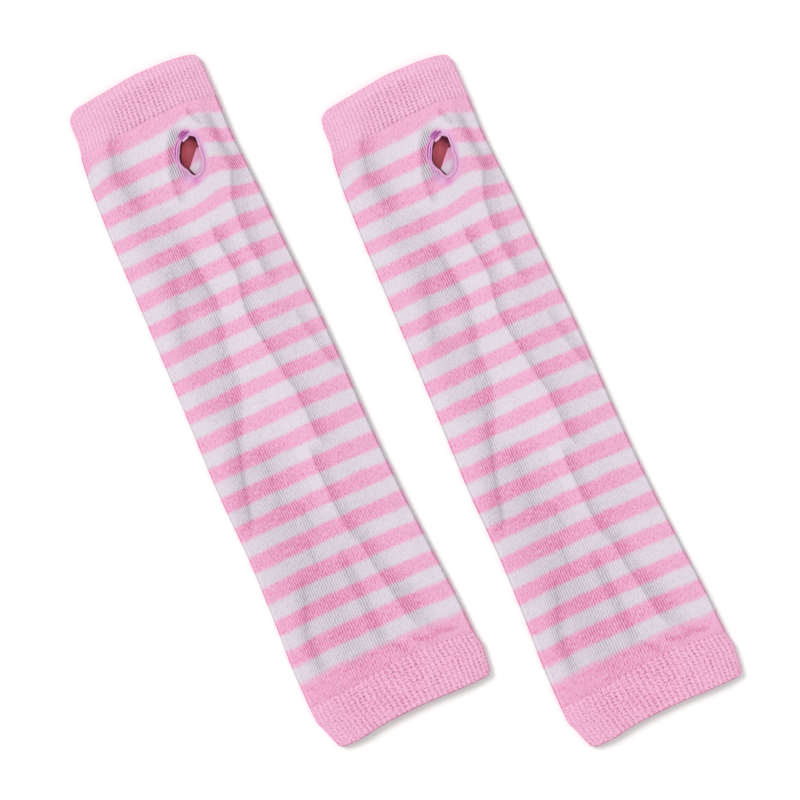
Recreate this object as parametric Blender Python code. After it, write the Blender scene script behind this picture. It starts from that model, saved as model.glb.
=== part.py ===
"""Pair of knitted fingerless gloves, laid flat side by side with the thumb holes up.

Each glove is one long knitted tube, pressed flat, so that its upper layer lies on its
lower one. A striped jersey tube with a thumb hole runs between a ribbed cuff for the
hand and a ribbed cuff for the arm, and a stitched edging lines the thumb hole.

The tables and sizes are millimetres in one glove's own frame: x across the glove, y
along it towards the hand, and z up from the surface that it lies on.
"""

import math
from collections import namedtuple

import bmesh
import bpy
from mathutils import Matrix

MM = 0.001

# The cloth
WALL = 1.4
LAYER_GAP = 0.5
SEAM_GAP = 0.3
SIDE_RADIUS = WALL + LAYER_GAP / 2
LOFT = 0.8
LOFT_MARGIN = 4.5
SOFTEST_DIP = 0.25

# The ribs of the cuffs, 1 knit 1 purl, as many across the hand cuff as across the arm cuff
RIB_COUNT = 32
RIB_HEIGHT = 0.5

# The spans that each section is divided into
UNDER_SPANS = 10
SIDE_SPANS = 4
TUBE_TOP_SPANS = 28
TUBE_ROWS = 28
EDGE_CROWDING = 0.06
SHARP_ANGLE = math.radians(50)

# The thumb hole: an egg, wider towards the hand, that leans over to the right
THUMB_X = 7.8
THUMB_Y = 119.2
THUMB_LEAN = math.radians(15.5)
THUMB_HALF_LENGTH = 9.4
THUMB_HALF_WIDTH = 5.2
THUMB_TAPER = 0.12
THUMB_LIFT = 2.0
THUMB_LIFT_REACH = 11.0
THUMB_SPANS = 28

# The stitched edging that lines the thumb hole
EDGING_WIDTH = 1.6
EDGING_PROUD = 0.45
EDGING_BELOW = 0.2
EDGING_SHOULDER = 0.45

# The cutter starts in the gap between the layers and ends above the glove
CUTTER_FOOT = WALL + 0.9
CUTTER_TOP = 12.0

# The right-hand glove lies this far from the left-hand one
PAIR_STEP_X = 105.9
PAIR_STEP_Y = -47.2

Side = namedtuple("Side", "along left right")
Mark = namedtuple("Mark", "across along")
Row = namedtuple("Row", "share rib_strength")
Fold = namedtuple("Fold", "name height width path")
Spot = namedtuple("Spot", "part share crest")
Finish = namedtuple("Finish", "red green blue roughness")

# Where the two sides of the glove are, from the arm end to the hand end
SIDES = (
    Side(-155.5, -41.2, 37.3),
    Side(-151.8, -42.3, 37.8),
    Side(-144.4, -44.3, 38.4),
    Side(-140.8, -45.6, 38.9),
    Side(-133.4, -45.8, 37.9),
    Side(-115.0, -45.8, 37.3),
    Side(-85.6, -44.4, 35.4),
    Side(-56.1, -43.6, 33.8),
    Side(-26.7, -44.1, 33.0),
    Side(17.5, -43.1, 32.9),
    Side(76.4, -42.1, 31.1),
    Side(94.8, -41.9, 30.6),
    Side(124.2, -40.8, 29.3),
    Side(138.9, -39.4, 29.7),
    Side(146.3, -38.2, 29.8),
    Side(153.6, -37.4, 29.8),
    Side(161.0, -37.3, 29.9),
)

# The four lines that cross the glove: its two rims, and where each cuff meets the jersey
HAND_RIM = (
    Mark(-37.3, 154.1),
    Mark(-36.8, 156.6),
    Mark(-35.2, 159.0),
    Mark(-31.7, 160.9),
    Mark(-27.6, 161.4),
    Mark(-13.8, 163.0),
    Mark(1.2, 164.4),
    Mark(12.7, 164.2),
    Mark(24.2, 163.0),
    Mark(28.6, 161.5),
    Mark(29.7, 159.4),
)
HAND_SEAM = (
    Mark(-39.4, 139.6),
    Mark(-23.9, 140.8),
    Mark(1.2, 142.8),
    Mark(13.8, 143.1),
    Mark(29.4, 140.8),
)
ARM_SEAM = (
    Mark(-45.6, -134.8),
    Mark(-25.8, -133.7),
    Mark(-1.2, -131.1),
    Mark(12.7, -130.8),
    Mark(24.2, -131.6),
    Mark(37.6, -133.2),
)
ARM_RIM = (
    Mark(-41.2, -154.4),
    Mark(-40.3, -156.4),
    Mark(-37.3, -157.5),
    Mark(-28.8, -157.2),
    Mark(-20.7, -155.8),
    Mark(-10.4, -155.0),
    Mark(6.9, -154.4),
    Mark(18.4, -154.8),
    Mark(35.2, -154.7),
    Mark(37.2, -153.0),
)

# Rows of each cuff, from its arm side to its hand side, and how far the ribs stand there
HAND_CUFF_ROWS = (Row(0.0, 0.6), Row(0.4, 1.0), Row(0.8, 1.0), Row(1.0, 0.2))
ARM_CUFF_ROWS = (Row(0.0, 0.7), Row(0.3, 1.0), Row(0.75, 1.0), Row(1.0, 0.5))

# The largest folds: each path is the line where the cloth falls away to the right, with
# the fold's crest one width to its left and its trough one width to its right
FOLDS = (
    Fold("outer wrist", 0.9, 3.4, (Mark(-22.5, 142.0), Mark(-27.0, 128.8), Mark(-24.8, 106.0))),
    Fold(
        "beside the thumb", 1.1, 3.0,
        (Mark(21.6, 133.0), Mark(23.6, 114.0), Mark(17.2, 86.0), Mark(17.8, 58.0)),
    ),
    Fold("palm", 0.9, 3.0, (Mark(-12.6, 78.0), Mark(-11.2, 64.0), Mark(-8.8, 54.0))),
    Fold(
        "centre, hand half", 0.9, 3.4,
        (Mark(3.2, 80.0), Mark(5.1, 63.0), Mark(2.4, 38.0), Mark(8.3, 3.0), Mark(9.2, -22.0)),
    ),
    Fold(
        "centre, arm half", 1.0, 3.4,
        (Mark(4.1, -30.0), Mark(4.3, -58.0), Mark(8.7, -86.0), Mark(13.8, -115.0)),
    ),
    Fold(
        "long slant", 1.1, 3.4,
        (Mark(-11.0, 55.0), Mark(-19.2, 30.0), Mark(-24.5, 0.0), Mark(-34.5, -43.0)),
    ),
    Fold("forearm middle", 1.2, 3.8, (Mark(-4.8, -80.0), Mark(-3.0, -103.0), Mark(-4.1, -119.0))),
    Fold("forearm side", 1.1, 3.6, (Mark(-26.2, -85.0), Mark(-32.0, -101.0), Mark(-34.5, -119.0))),
)

PINK_RIB = Finish(0.83, 0.45, 0.62, 0.9)
STRIPED_JERSEY = Finish(0.81, 0.55, 0.68, 0.92)
LILAC_THREAD = Finish(0.68, 0.31, 0.56, 0.7)


def mix(low, high, share):
    """The value a share of the way from low to high."""
    return low + (high - low) * share


def smooth_value(knots, position):
    """The value at a position of the smooth curve through (position, value) knots.

    The curve never swings past its knots, and it stays level beyond both ends.
    """
    if position <= knots[0][0]:
        return knots[0][1]
    if position >= knots[-1][0]:
        return knots[-1][1]
    slopes = [(b[1] - a[1]) / (b[0] - a[0]) for a, b in zip(knots, knots[1:])]
    index = max(i for i, knot in enumerate(knots[:-1]) if knot[0] <= position)
    span = knots[index + 1][0] - knots[index][0]
    t = (position - knots[index][0]) / span
    start = knot_slope(slopes, index) * span
    end = knot_slope(slopes, index + 1) * span
    return (
        knots[index][1] * (2 * t**3 - 3 * t**2 + 1)
        + knots[index + 1][1] * (3 * t**2 - 2 * t**3)
        + start * (t**3 - 2 * t**2 + t)
        + end * (t**3 - t**2)
    )


def knot_slope(slopes, index):
    """The curve's slope at a knot, from the straight slopes on both sides of it."""
    if index == 0:
        return slopes[0]
    if index == len(slopes):
        return slopes[-1]
    before, after = slopes[index - 1], slopes[index]
    if before * after <= 0:
        return 0.0
    return 2 * before * after / (before + after)


def sides_at(along):
    """The glove's left and right side where it is crossed at a distance along it."""
    left = smooth_value([(side.along, side.left) for side in SIDES], along)
    right = smooth_value([(side.along, side.right) for side in SIDES], along)
    return left, right


def crowded(share):
    """A share along a section's width, with the steps a little closer at both sides."""
    return share - EDGE_CROWDING * math.sin(2 * math.pi * share)


def offset_from_path(x, y, path):
    """How far a point lies from a path: positive to the right of it, seen from its end."""
    best = None
    for start, end in zip(path, path[1:]):
        run_x, run_y = end.across - start.across, end.along - start.along
        length = math.hypot(run_x, run_y)
        share = ((x - start.across) * run_x + (y - start.along) * run_y) / length**2
        share = min(1.0, max(0.0, share))
        gap_x = x - mix(start.across, end.across, share)
        gap_y = y - mix(start.along, end.along, share)
        distance = math.hypot(gap_x, gap_y)
        if best is None or distance < abs(best[0]):
            sideways = (gap_y * run_x - gap_x * run_y) / length
            best = (distance, sideways)
    return best


def fold_height(fold, x, y):
    """The crest to the left of a fold's path and the trough to the right of it."""
    distance, sideways = offset_from_path(x, y, fold.path)
    fade = math.exp(0.5 - 0.5 * (distance / fold.width) ** 2)
    return -fold.height * (sideways / fold.width) * fade


def thumb_distance(x, y):
    """How far a point lies from the middle of the thumb hole."""
    return math.hypot(x - THUMB_X, y - THUMB_Y)


def loft(x, y, left, right):
    """How far the upper layer stands above its flattest state at a point."""
    margin = min(x - left, right - x) - SIDE_RADIUS
    if margin <= 0:
        return 0.0
    window = 1 - math.exp(-((margin / LOFT_MARGIN) ** 2))
    lift = THUMB_LIFT * math.exp(-((thumb_distance(x, y) / THUMB_LIFT_REACH) ** 2))
    height = LOFT + lift + sum(fold_height(fold, x, y) for fold in FOLDS)
    return window * (height + math.hypot(height, SOFTEST_DIP)) / 2


def surface_height(x, y):
    """The height of the upper layer's outer face at a point of the glove."""
    left, right = sides_at(y)
    return 2 * SIDE_RADIUS + loft(x, y, left, right)


def section_spots(top_spans, ribbed):
    """The spots round a section: under it, up its right side, over it, down its left."""
    under_spans = 2 * UNDER_SPANS if ribbed else UNDER_SPANS
    parts = (("under", under_spans), ("right", SIDE_SPANS), ("top", top_spans), ("left", SIDE_SPANS))
    spots = []
    for part, count in parts:
        for index in range(count):
            crest = ribbed and part == "top" and index % 2 == 1
            spots.append(Spot(part, index / count, crest))
    return spots


def spot_point(spot, inset, row, share, low, high):
    """The place of one spot of a row: inset 0 is the outer face, WALL the inner one."""
    middle = mix(smooth_value(low, 0.0), smooth_value(high, 0.0), share)
    left, right = sides_at(middle)
    first, last = left + SIDE_RADIUS, right - SIDE_RADIUS
    radius = SIDE_RADIUS - inset
    if spot.part == "under":
        x = mix(first, last, crowded(spot.share))
        z = inset
    elif spot.part == "top":
        x = mix(last, first, crowded(spot.share))
        z = 2 * SIDE_RADIUS - inset
    else:
        turn = spot.share - 0.5 if spot.part == "right" else spot.share + 0.5
        x = (last if spot.part == "right" else first) + radius * math.cos(math.pi * turn)
        z = SIDE_RADIUS + radius * math.sin(math.pi * turn)
    y = mix(smooth_value(low, x), smooth_value(high, x), share)
    if spot.part == "top":
        z += loft(x, y, left, right)
    if spot.crest:
        z += RIB_HEIGHT * row.rib_strength
    return (x * MM, y * MM, z * MM)


def ring(bm, spots, inset, row, low, high):
    """One closed ring of vertices round the tube."""
    return [bm.verts.new(spot_point(spot, inset, row, row.share, low, high)) for spot in spots]


def skin(bm, rings):
    """Faces between each ring and the next."""
    for lower, upper in zip(rings, rings[1:]):
        count = len(lower)
        for i in range(count):
            j = (i + 1) % count
            bm.faces.new((lower[i], lower[j], upper[j], upper[i]))


def rim(bm, outer, inner):
    """Faces across the cloth's edge, where an inner span faces one or two outer spans."""
    ratio = len(outer) // len(inner)
    for i in range(len(inner)):
        j = (i + 1) % len(inner)
        strip = [outer[(i * ratio + step) % len(outer)] for step in range(ratio + 1)]
        bm.faces.new(strip + [inner[j], inner[i]])


def cloth_tube(name, rows, low, high, ribbed):
    """A mesh of one stretch of the tube: a closed wall, open at both of its ends."""
    top_spans = 2 * RIB_COUNT if ribbed else TUBE_TOP_SPANS
    spots = section_spots(top_spans, ribbed)
    inner_spots = spots[::2] if ribbed else spots
    bm = bmesh.new()
    outer = [ring(bm, spots, 0.0, row, low, high) for row in rows]
    inner = [ring(bm, inner_spots, WALL, row, low, high) for row in rows]
    skin(bm, outer)
    skin(bm, inner)
    rim(bm, outer[0], inner[0])
    rim(bm, outer[-1], inner[-1])
    return finished_mesh(name, bm)


def finished_mesh(name, bm):
    """A mesh with its faces pointing out and its round places shaded smooth."""
    bmesh.ops.recalc_face_normals(bm, faces=bm.faces)
    mesh = bpy.data.meshes.new(name)
    bm.to_mesh(mesh)
    bm.free()
    mesh.shade_smooth()
    mesh.set_sharp_from_angle(angle=SHARP_ANGLE)
    return mesh


def shifted(marks, step):
    """A crossing line moved along the glove."""
    return tuple(Mark(mark.across, mark.along + step) for mark in marks)


def thumb_outline(margin, turn):
    """A point on the thumb hole's outline, made larger by a margin, and its direction."""
    x = (THUMB_HALF_WIDTH + margin) * math.cos(turn) * (1 + THUMB_TAPER * math.sin(turn))
    y = (THUMB_HALF_LENGTH + margin) * math.sin(turn)
    cosine, sine = math.cos(THUMB_LEAN), math.sin(THUMB_LEAN)
    return THUMB_X + x * cosine + y * sine, THUMB_Y - x * sine + y * cosine


def thumb_edging(name):
    """The mesh of the stitched edging: a soft band round the inside of the thumb hole."""
    below = -WALL - EDGING_BELOW
    middle = (EDGING_PROUD + below) / 2
    profile = (
        (0.0, middle),
        (EDGING_SHOULDER, EDGING_PROUD),
        (EDGING_WIDTH - EDGING_SHOULDER, EDGING_PROUD),
        (EDGING_WIDTH, middle),
        (EDGING_WIDTH - EDGING_SHOULDER, below),
        (EDGING_SHOULDER, below),
    )
    bm = bmesh.new()
    rings = []
    for index in range(THUMB_SPANS):
        turn = 2 * math.pi * index / THUMB_SPANS
        level = surface_height(*thumb_outline(EDGING_WIDTH / 2, turn))
        section = []
        for margin, height in profile:
            x, y = thumb_outline(margin, turn)
            section.append(bm.verts.new((x * MM, y * MM, (level + height) * MM)))
        rings.append(section)
    skin(bm, rings + rings[:1])
    return finished_mesh(name, bm)


def thumb_cutter(name):
    """The mesh of the prism that cuts the thumb hole through the upper layer."""
    bm = bmesh.new()
    margin = EDGING_WIDTH + SEAM_GAP
    rings = []
    for z in (CUTTER_FOOT, CUTTER_TOP):
        points = [thumb_outline(margin, 2 * math.pi * i / THUMB_SPANS) for i in range(THUMB_SPANS)]
        rings.append([bm.verts.new((x * MM, y * MM, z * MM)) for x, y in points])
    skin(bm, rings)
    bm.faces.new(rings[0])
    bm.faces.new(rings[1])
    return finished_mesh(name, bm)


def material(name, finish):
    """A plain cloth material of one finish."""
    made = bpy.data.materials.new(name)
    made.use_nodes = True
    shader = made.node_tree.nodes["Principled BSDF"]
    shader.inputs["Base Color"].default_value = (finish.red, finish.green, finish.blue, 1.0)
    shader.inputs["Roughness"].default_value = finish.roughness
    shader.inputs["Metallic"].default_value = 0.0
    return made


def place(name, mesh, parent, finish=None):
    """An object under a glove's empty, with a material of its own where it has a finish."""
    made = bpy.data.objects.new(name, mesh)
    bpy.context.scene.collection.objects.link(made)
    made.parent = parent
    if finish is not None:
        made.data.materials.clear()
        made.data.materials.append(None)
        made.material_slots[0].link = "OBJECT"
        made.material_slots[0].material = material(name, finish)
    return made


def cut_thumb_hole(tube, cutter):
    """Cuts the thumb hole through the upper layer of a glove's tube."""
    cutter.hide_render = True
    cutter.display_type = "WIRE"
    cut = tube.modifiers.new("thumb hole", "BOOLEAN")
    cut.operation = "DIFFERENCE"
    cut.solver = "EXACT"
    cut.object = cutter


def pair_middle(meshes):
    """The middle of the whole pair, in the left glove's frame."""
    xs = [vertex.co.x for mesh in meshes for vertex in mesh.vertices]
    ys = [vertex.co.y for mesh in meshes for vertex in mesh.vertices]
    step_x, step_y = PAIR_STEP_X * MM, PAIR_STEP_Y * MM
    middle_x = (min(xs) + max(xs) + step_x) / 2
    middle_y = (min(ys) + step_y + max(ys)) / 2
    return middle_x, middle_y


def build_glove(side, corner, meshes):
    """One whole glove, its pieces under an empty that stands at the glove's place."""
    stand = bpy.data.objects.new(side + "_glove", None)
    bpy.context.scene.collection.objects.link(stand)
    stand.matrix_world = Matrix.Translation((corner[0], corner[1], 0.0))
    place(side + "_hand_cuff", meshes["hand_cuff"], stand, PINK_RIB)
    tube = place(side + "_striped_tube", meshes["striped_tube"], stand, STRIPED_JERSEY)
    place(side + "_arm_cuff", meshes["arm_cuff"], stand, PINK_RIB)
    place(side + "_thumb_edging", meshes["thumb_edging"], stand, LILAC_THREAD)
    cutter = place(side + "_thumb_cutter", meshes["thumb_cutter"], stand)
    cut_thumb_hole(tube, cutter)


def build_meshes():
    """The meshes that both gloves share."""
    half = SEAM_GAP / 2
    tube_rows = tuple(Row(index / TUBE_ROWS, 0.0) for index in range(TUBE_ROWS + 1))
    hand_low, hand_high = shifted(HAND_SEAM, half), HAND_RIM
    arm_low, arm_high = ARM_RIM, shifted(ARM_SEAM, -half)
    tube_low, tube_high = shifted(ARM_SEAM, half), shifted(HAND_SEAM, -half)
    return {
        "hand_cuff": cloth_tube("hand_cuff", HAND_CUFF_ROWS, hand_low, hand_high, True),
        "striped_tube": cloth_tube("striped_tube", tube_rows, tube_low, tube_high, False),
        "arm_cuff": cloth_tube("arm_cuff", ARM_CUFF_ROWS, arm_low, arm_high, True),
        "thumb_edging": thumb_edging("thumb_edging"),
        "thumb_cutter": thumb_cutter("thumb_cutter"),
    }


def main():
    """Clears the scene and builds the pair about the middle of its box."""
    for old in list(bpy.data.objects):
        bpy.data.objects.remove(old, do_unlink=True)
    meshes = build_meshes()
    middle_x, middle_y = pair_middle([meshes["hand_cuff"], meshes["striped_tube"], meshes["arm_cuff"]])
    build_glove("left", (-middle_x, -middle_y), meshes)
    build_glove("right", (PAIR_STEP_X * MM - middle_x, PAIR_STEP_Y * MM - middle_y), meshes)
    bpy.context.view_layer.update()


if __name__ == "__main__":
    main()
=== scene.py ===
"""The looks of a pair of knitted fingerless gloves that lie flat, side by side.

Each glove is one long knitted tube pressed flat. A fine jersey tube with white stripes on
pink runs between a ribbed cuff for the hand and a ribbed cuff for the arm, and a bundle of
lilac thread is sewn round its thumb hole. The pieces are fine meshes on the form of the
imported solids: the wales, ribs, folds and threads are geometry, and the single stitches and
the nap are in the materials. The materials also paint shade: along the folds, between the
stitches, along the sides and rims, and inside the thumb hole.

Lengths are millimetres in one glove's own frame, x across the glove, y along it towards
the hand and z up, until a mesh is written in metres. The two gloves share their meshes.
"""

from __future__ import annotations

import logging
import math
from dataclasses import dataclass, field
from enum import Enum
from typing import NamedTuple, Sequence

import bpy
import numpy as np
from mathutils import Euler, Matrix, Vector

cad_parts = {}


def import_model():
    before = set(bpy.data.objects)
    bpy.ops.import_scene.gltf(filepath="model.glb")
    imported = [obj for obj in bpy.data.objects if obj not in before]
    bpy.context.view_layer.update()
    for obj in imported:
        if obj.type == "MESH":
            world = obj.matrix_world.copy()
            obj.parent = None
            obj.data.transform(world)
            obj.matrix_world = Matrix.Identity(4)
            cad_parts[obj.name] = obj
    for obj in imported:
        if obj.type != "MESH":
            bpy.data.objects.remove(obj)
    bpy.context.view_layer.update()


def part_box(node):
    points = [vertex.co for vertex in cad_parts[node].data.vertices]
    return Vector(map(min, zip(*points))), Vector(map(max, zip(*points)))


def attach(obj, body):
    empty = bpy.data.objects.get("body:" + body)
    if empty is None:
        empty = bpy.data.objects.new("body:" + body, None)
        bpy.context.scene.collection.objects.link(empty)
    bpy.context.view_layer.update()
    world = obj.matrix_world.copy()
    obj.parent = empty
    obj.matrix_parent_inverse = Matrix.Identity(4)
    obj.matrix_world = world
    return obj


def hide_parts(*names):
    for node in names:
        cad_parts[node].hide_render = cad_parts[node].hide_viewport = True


LOG = logging.getLogger("gloves")

MM = 0.001
SHARP = math.radians(58)
THUMB_LEAN = math.radians(15.5)
UP = np.array([0.0, 0.0, 1.0])
Array = np.ndarray
Colour = tuple[int, int, int]
Socket = bpy.types.NodeSocket


class Side(Enum):
    """The two gloves, named by where they lie."""

    LEFT = "left"
    RIGHT = "right"


class Face(Enum):
    """The stretches of a section round the tube, in the order that a ring follows."""

    UNDER = "under"
    RIGHT = "right"
    TOP = "top"
    LEFT = "left"


class Layer(Enum):
    """The mesh layers that materials read, each with a pair of numbers."""

    STITCH = "stitch"
    # Holds the stripe count, or on the cuffs the ladder's strength, and the painted shade.
    DYE = "dye"
    PLACE = "place"
    THREAD = "thread"
    TINT = "tint"


class Mark(NamedTuple):
    """A point of a line: its place across the glove and its place along it."""

    across: float
    along: float


class Edge(NamedTuple):
    """Where the glove's two sides are at a place along it."""

    along: float
    left: float
    right: float


class Fold(NamedTuple):
    """A fold: its path is where the cloth falls away to the right, with a crest to the left."""

    height: float
    width: float
    path: tuple[Mark, ...]


class ShadeStroke(NamedTuple):
    """A stroke of painted shade along a fold, which fades out over a reach on either side."""

    depth: float
    left: float
    right: float
    path: tuple[Mark, ...]


class Pull(NamedTuple):
    """A place where the stripes are drawn along the glove, and how far they are drawn."""

    across: float
    along: float
    reach_across: float
    reach_along: float
    shift: float


class Band(NamedTuple):
    """One white stripe: its arm side and its hand side."""

    start: float
    end: float


def trail(*numbers: float) -> tuple[Mark, ...]:
    """Return a path's marks from its numbers, which are across and along by turns."""
    return tuple(Mark(*pair) for pair in zip(numbers[::2], numbers[1::2]))


def mix(low: Array | float, high: Array | float, share: Array | float) -> Array | float:
    """Return the value a share of the way from low to high."""
    return low + (high - low) * share


def bump(distance: Array, reach: float | Array) -> Array:
    """Return a soft bell, 1 at no distance and near 0 at twice its reach."""
    return np.exp(-((distance / reach) ** 2))


def smooth_step(value: Array, low: float, high: float) -> Array:
    """Return a soft step from 0 at low to 1 at high."""
    share = np.clip((value - low) / (high - low), 0.0, 1.0)
    return share**2 * (3 - 2 * share)


@dataclass(frozen=True)
class SmoothLine:
    """A line through knots that never swings past them, and stays level beyond its ends."""

    positions: tuple[float, ...]
    values: tuple[float, ...]

    @classmethod
    def across(cls, marks: Sequence[Mark]) -> SmoothLine:
        """Return the line that gives the place along the glove at each place across it."""
        return cls(tuple(m.across for m in marks), tuple(m.along for m in marks))

    def slopes(self) -> tuple[Array, Array, Array]:
        """Work out the knots and the slope at each of them.

        Returns:
            The positions, the values and the slopes.
        """
        x, y = np.array(self.positions), np.array(self.values)
        secant = np.diff(y) / np.diff(x)
        before, after = secant[:-1], secant[1:]
        total = np.where(before + after == 0, 1.0, before + after)
        inner = np.where(before * after > 0, 2 * before * after / total, 0.0)
        return x, y, np.concatenate([secant[:1], inner, secant[-1:]])

    def at(self, position: Array | float) -> Array:
        """Read the line.

        Args:
            position: One place, or an array of them.

        Returns:
            The line's value at each place.
        """
        x, y, slope = self.slopes()
        p = np.clip(np.asarray(position, dtype=float), x[0], x[-1])
        i = np.clip(np.searchsorted(x, p, side="right") - 1, 0, len(x) - 2)
        span = x[i + 1] - x[i]
        t = (p - x[i]) / span
        start, end = slope[i] * span, slope[i + 1] * span
        return (
            y[i] * (2 * t**3 - 3 * t**2 + 1)
            + y[i + 1] * (3 * t**2 - 2 * t**3)
            + start * (t**3 - 2 * t**2 + t)
            + end * (t**3 - t**2)
        )


@dataclass(frozen=True)
class Cloth:
    """The sizes that the knitted pieces share."""

    wall: float = 1.4
    layer_gap: float = 0.5
    loft: float = 0.8
    loft_margin: float = 4.5
    softest_dip: float = 0.25
    edge_crowding: float = 0.02
    edge_shade: float = 1.3
    edge_falloff: float = 1.5
    seam_dip: float = 0.22
    seam_reach: float = 1.1

    @property
    def side_radius(self) -> float:
        """Return the radius of the fold at the glove's two sides."""
        return self.wall + self.layer_gap / 2


@dataclass(frozen=True)
class Outline:
    """The glove's outline as it lies, and the lines that cross it."""

    edges: tuple[Edge, ...] = (
        Edge(-155.5, -41.2, 37.3), Edge(-151.8, -42.3, 37.8), Edge(-144.4, -44.3, 38.4),
        Edge(-140.8, -45.6, 38.9), Edge(-133.4, -45.8, 37.9), Edge(-115.0, -45.8, 37.3),
        Edge(-85.6, -44.4, 35.4), Edge(-56.1, -43.6, 33.8), Edge(-26.7, -44.1, 33.0),
        Edge(17.5, -43.1, 32.9), Edge(76.4, -42.1, 31.1), Edge(94.8, -41.9, 30.6),
        Edge(124.2, -40.8, 29.3), Edge(138.9, -39.4, 29.7), Edge(146.3, -38.2, 29.8),
        Edge(153.6, -37.4, 29.8), Edge(161.0, -37.3, 29.9),
    )
    hand_rim: tuple[Mark, ...] = trail(
        -37.3, 154.1, -36.8, 156.6, -35.2, 159.0, -31.7, 160.9, -27.6, 161.4, -13.8, 163.0,
        1.2, 164.4, 12.7, 164.2, 24.2, 163.0, 28.6, 161.5, 29.7, 159.4,
    )
    hand_seam: tuple[Mark, ...] = trail(
        -39.4, 139.6, -23.9, 140.8, 1.2, 142.8, 13.8, 143.1, 29.4, 140.8,
    )
    arm_seam: tuple[Mark, ...] = trail(
        -45.6, -134.8, -25.8, -133.7, -1.2, -131.1, 12.7, -130.8, 24.2, -131.6, 37.6, -133.2,
    )
    arm_rim: tuple[Mark, ...] = trail(
        -41.2, -154.4, -40.3, -156.4, -37.3, -157.5, -28.8, -157.2, -20.7, -155.8,
        -10.4, -155.0, 6.9, -154.4, 18.4, -154.8, 35.2, -154.7, 37.2, -153.0,
    )
    girth_samples: int = 60

    def left(self) -> SmoothLine:
        """Return the line of the glove's left side."""
        return SmoothLine(tuple(e.along for e in self.edges), tuple(e.left for e in self.edges))

    def right(self) -> SmoothLine:
        """Return the line of the glove's right side."""
        return SmoothLine(tuple(e.along for e in self.edges), tuple(e.right for e in self.edges))

    def girth(self, start: float, end: float) -> float:
        """Measure the cloth's mean width round the tube between two places along it.

        Args:
            start: The place nearer the arm.
            end: The place nearer the hand.

        Returns:
            The mean length round the tube, in millimetres.
        """
        along = np.linspace(start, end, self.girth_samples)
        width = self.right().at(along) - self.left().at(along)
        return float(2 * width.mean())


@dataclass(frozen=True)
class ThumbHole:
    """The thumb hole: its rim is a smooth loop that leans over to the right."""

    across: float = 7.8
    along: float = 119.2
    lift: float = 1.4
    lift_reach: float = 11.0
    cloth_margin: float = 0.85
    calm: float = 2.5
    softening: float = 0.08
    rim: tuple[Mark, ...] = trail(
        13.1, 123.2, 13.1, 126.9, 10.7, 128.4, 7.6, 128.2, 5.3, 126.0, 3.4, 122.4,
        2.2, 118.3, 3.9, 114.3, 6.2, 110.4, 9.2, 111.0, 11.4, 114.2, 12.4, 119.2,
    )

    def turn_to(self, x: Array, y: Array) -> Array:
        """Return the direction of each point from the hole's middle."""
        return np.arctan2(y - self.along, x - self.across)

    def radius(self, turn: Array) -> Array:
        """Measure the rim's distance from the hole's middle.

        Args:
            turn: Angles about the middle, anticlockwise from the right.

        Returns:
            The distance in each direction.
        """
        x, y = np.array(self.rim).T
        turns, reach = self.turn_to(x, y), np.hypot(x - self.across, y - self.along)
        order = np.argsort(turns)
        turns, reach = turns[order], reach[order]
        turns = np.concatenate([turns[-3:] - math.tau, turns, turns[:3] + math.tau])
        reach = np.concatenate([reach[-3:], reach, reach[:3]])
        line = SmoothLine(tuple(turns), tuple(reach))
        wrapped = (np.asarray(turn) + math.pi) % math.tau - math.pi
        before, after = line.at(wrapped - self.softening), line.at(wrapped + self.softening)
        return (before + 2 * line.at(wrapped) + after) / 4

    def point(self, turn: Array, margin: Array | float) -> tuple[Array, Array]:
        """Return the points at a margin outside the rim, in some directions."""
        reach = self.radius(turn) + margin
        return self.across + reach * np.cos(turn), self.along + reach * np.sin(turn)

    def outside(self, x: Array, y: Array) -> Array:
        """Return how far each point lies outside the rim, negative inside the hole."""
        away = np.hypot(x - self.across, y - self.along)
        return away - self.radius(self.turn_to(x, y))


LONG_DRAPE = trail(3.4, 81.6, 5.7, 62.0, 2.3, 45.0, 3.4, 33.0, 5.7, 17.0, 8.6, 2.0, 9.2, -22.0)
LEFT_SLANT = trail(-21.9, 73.6, -29.9, 45.0)
RIGHT_SLANT = trail(23.0, 33.0, 25.9, 18.0, 29.9, 4.6)
ARM_PUCKER = trail(12.0, -125.0, 18.4, -127.7, 23.0, -126.2, 28.8, -127.7)
SHORT_PUCKER = trail(0.0, -122.0, 5.8, -128.0)


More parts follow.
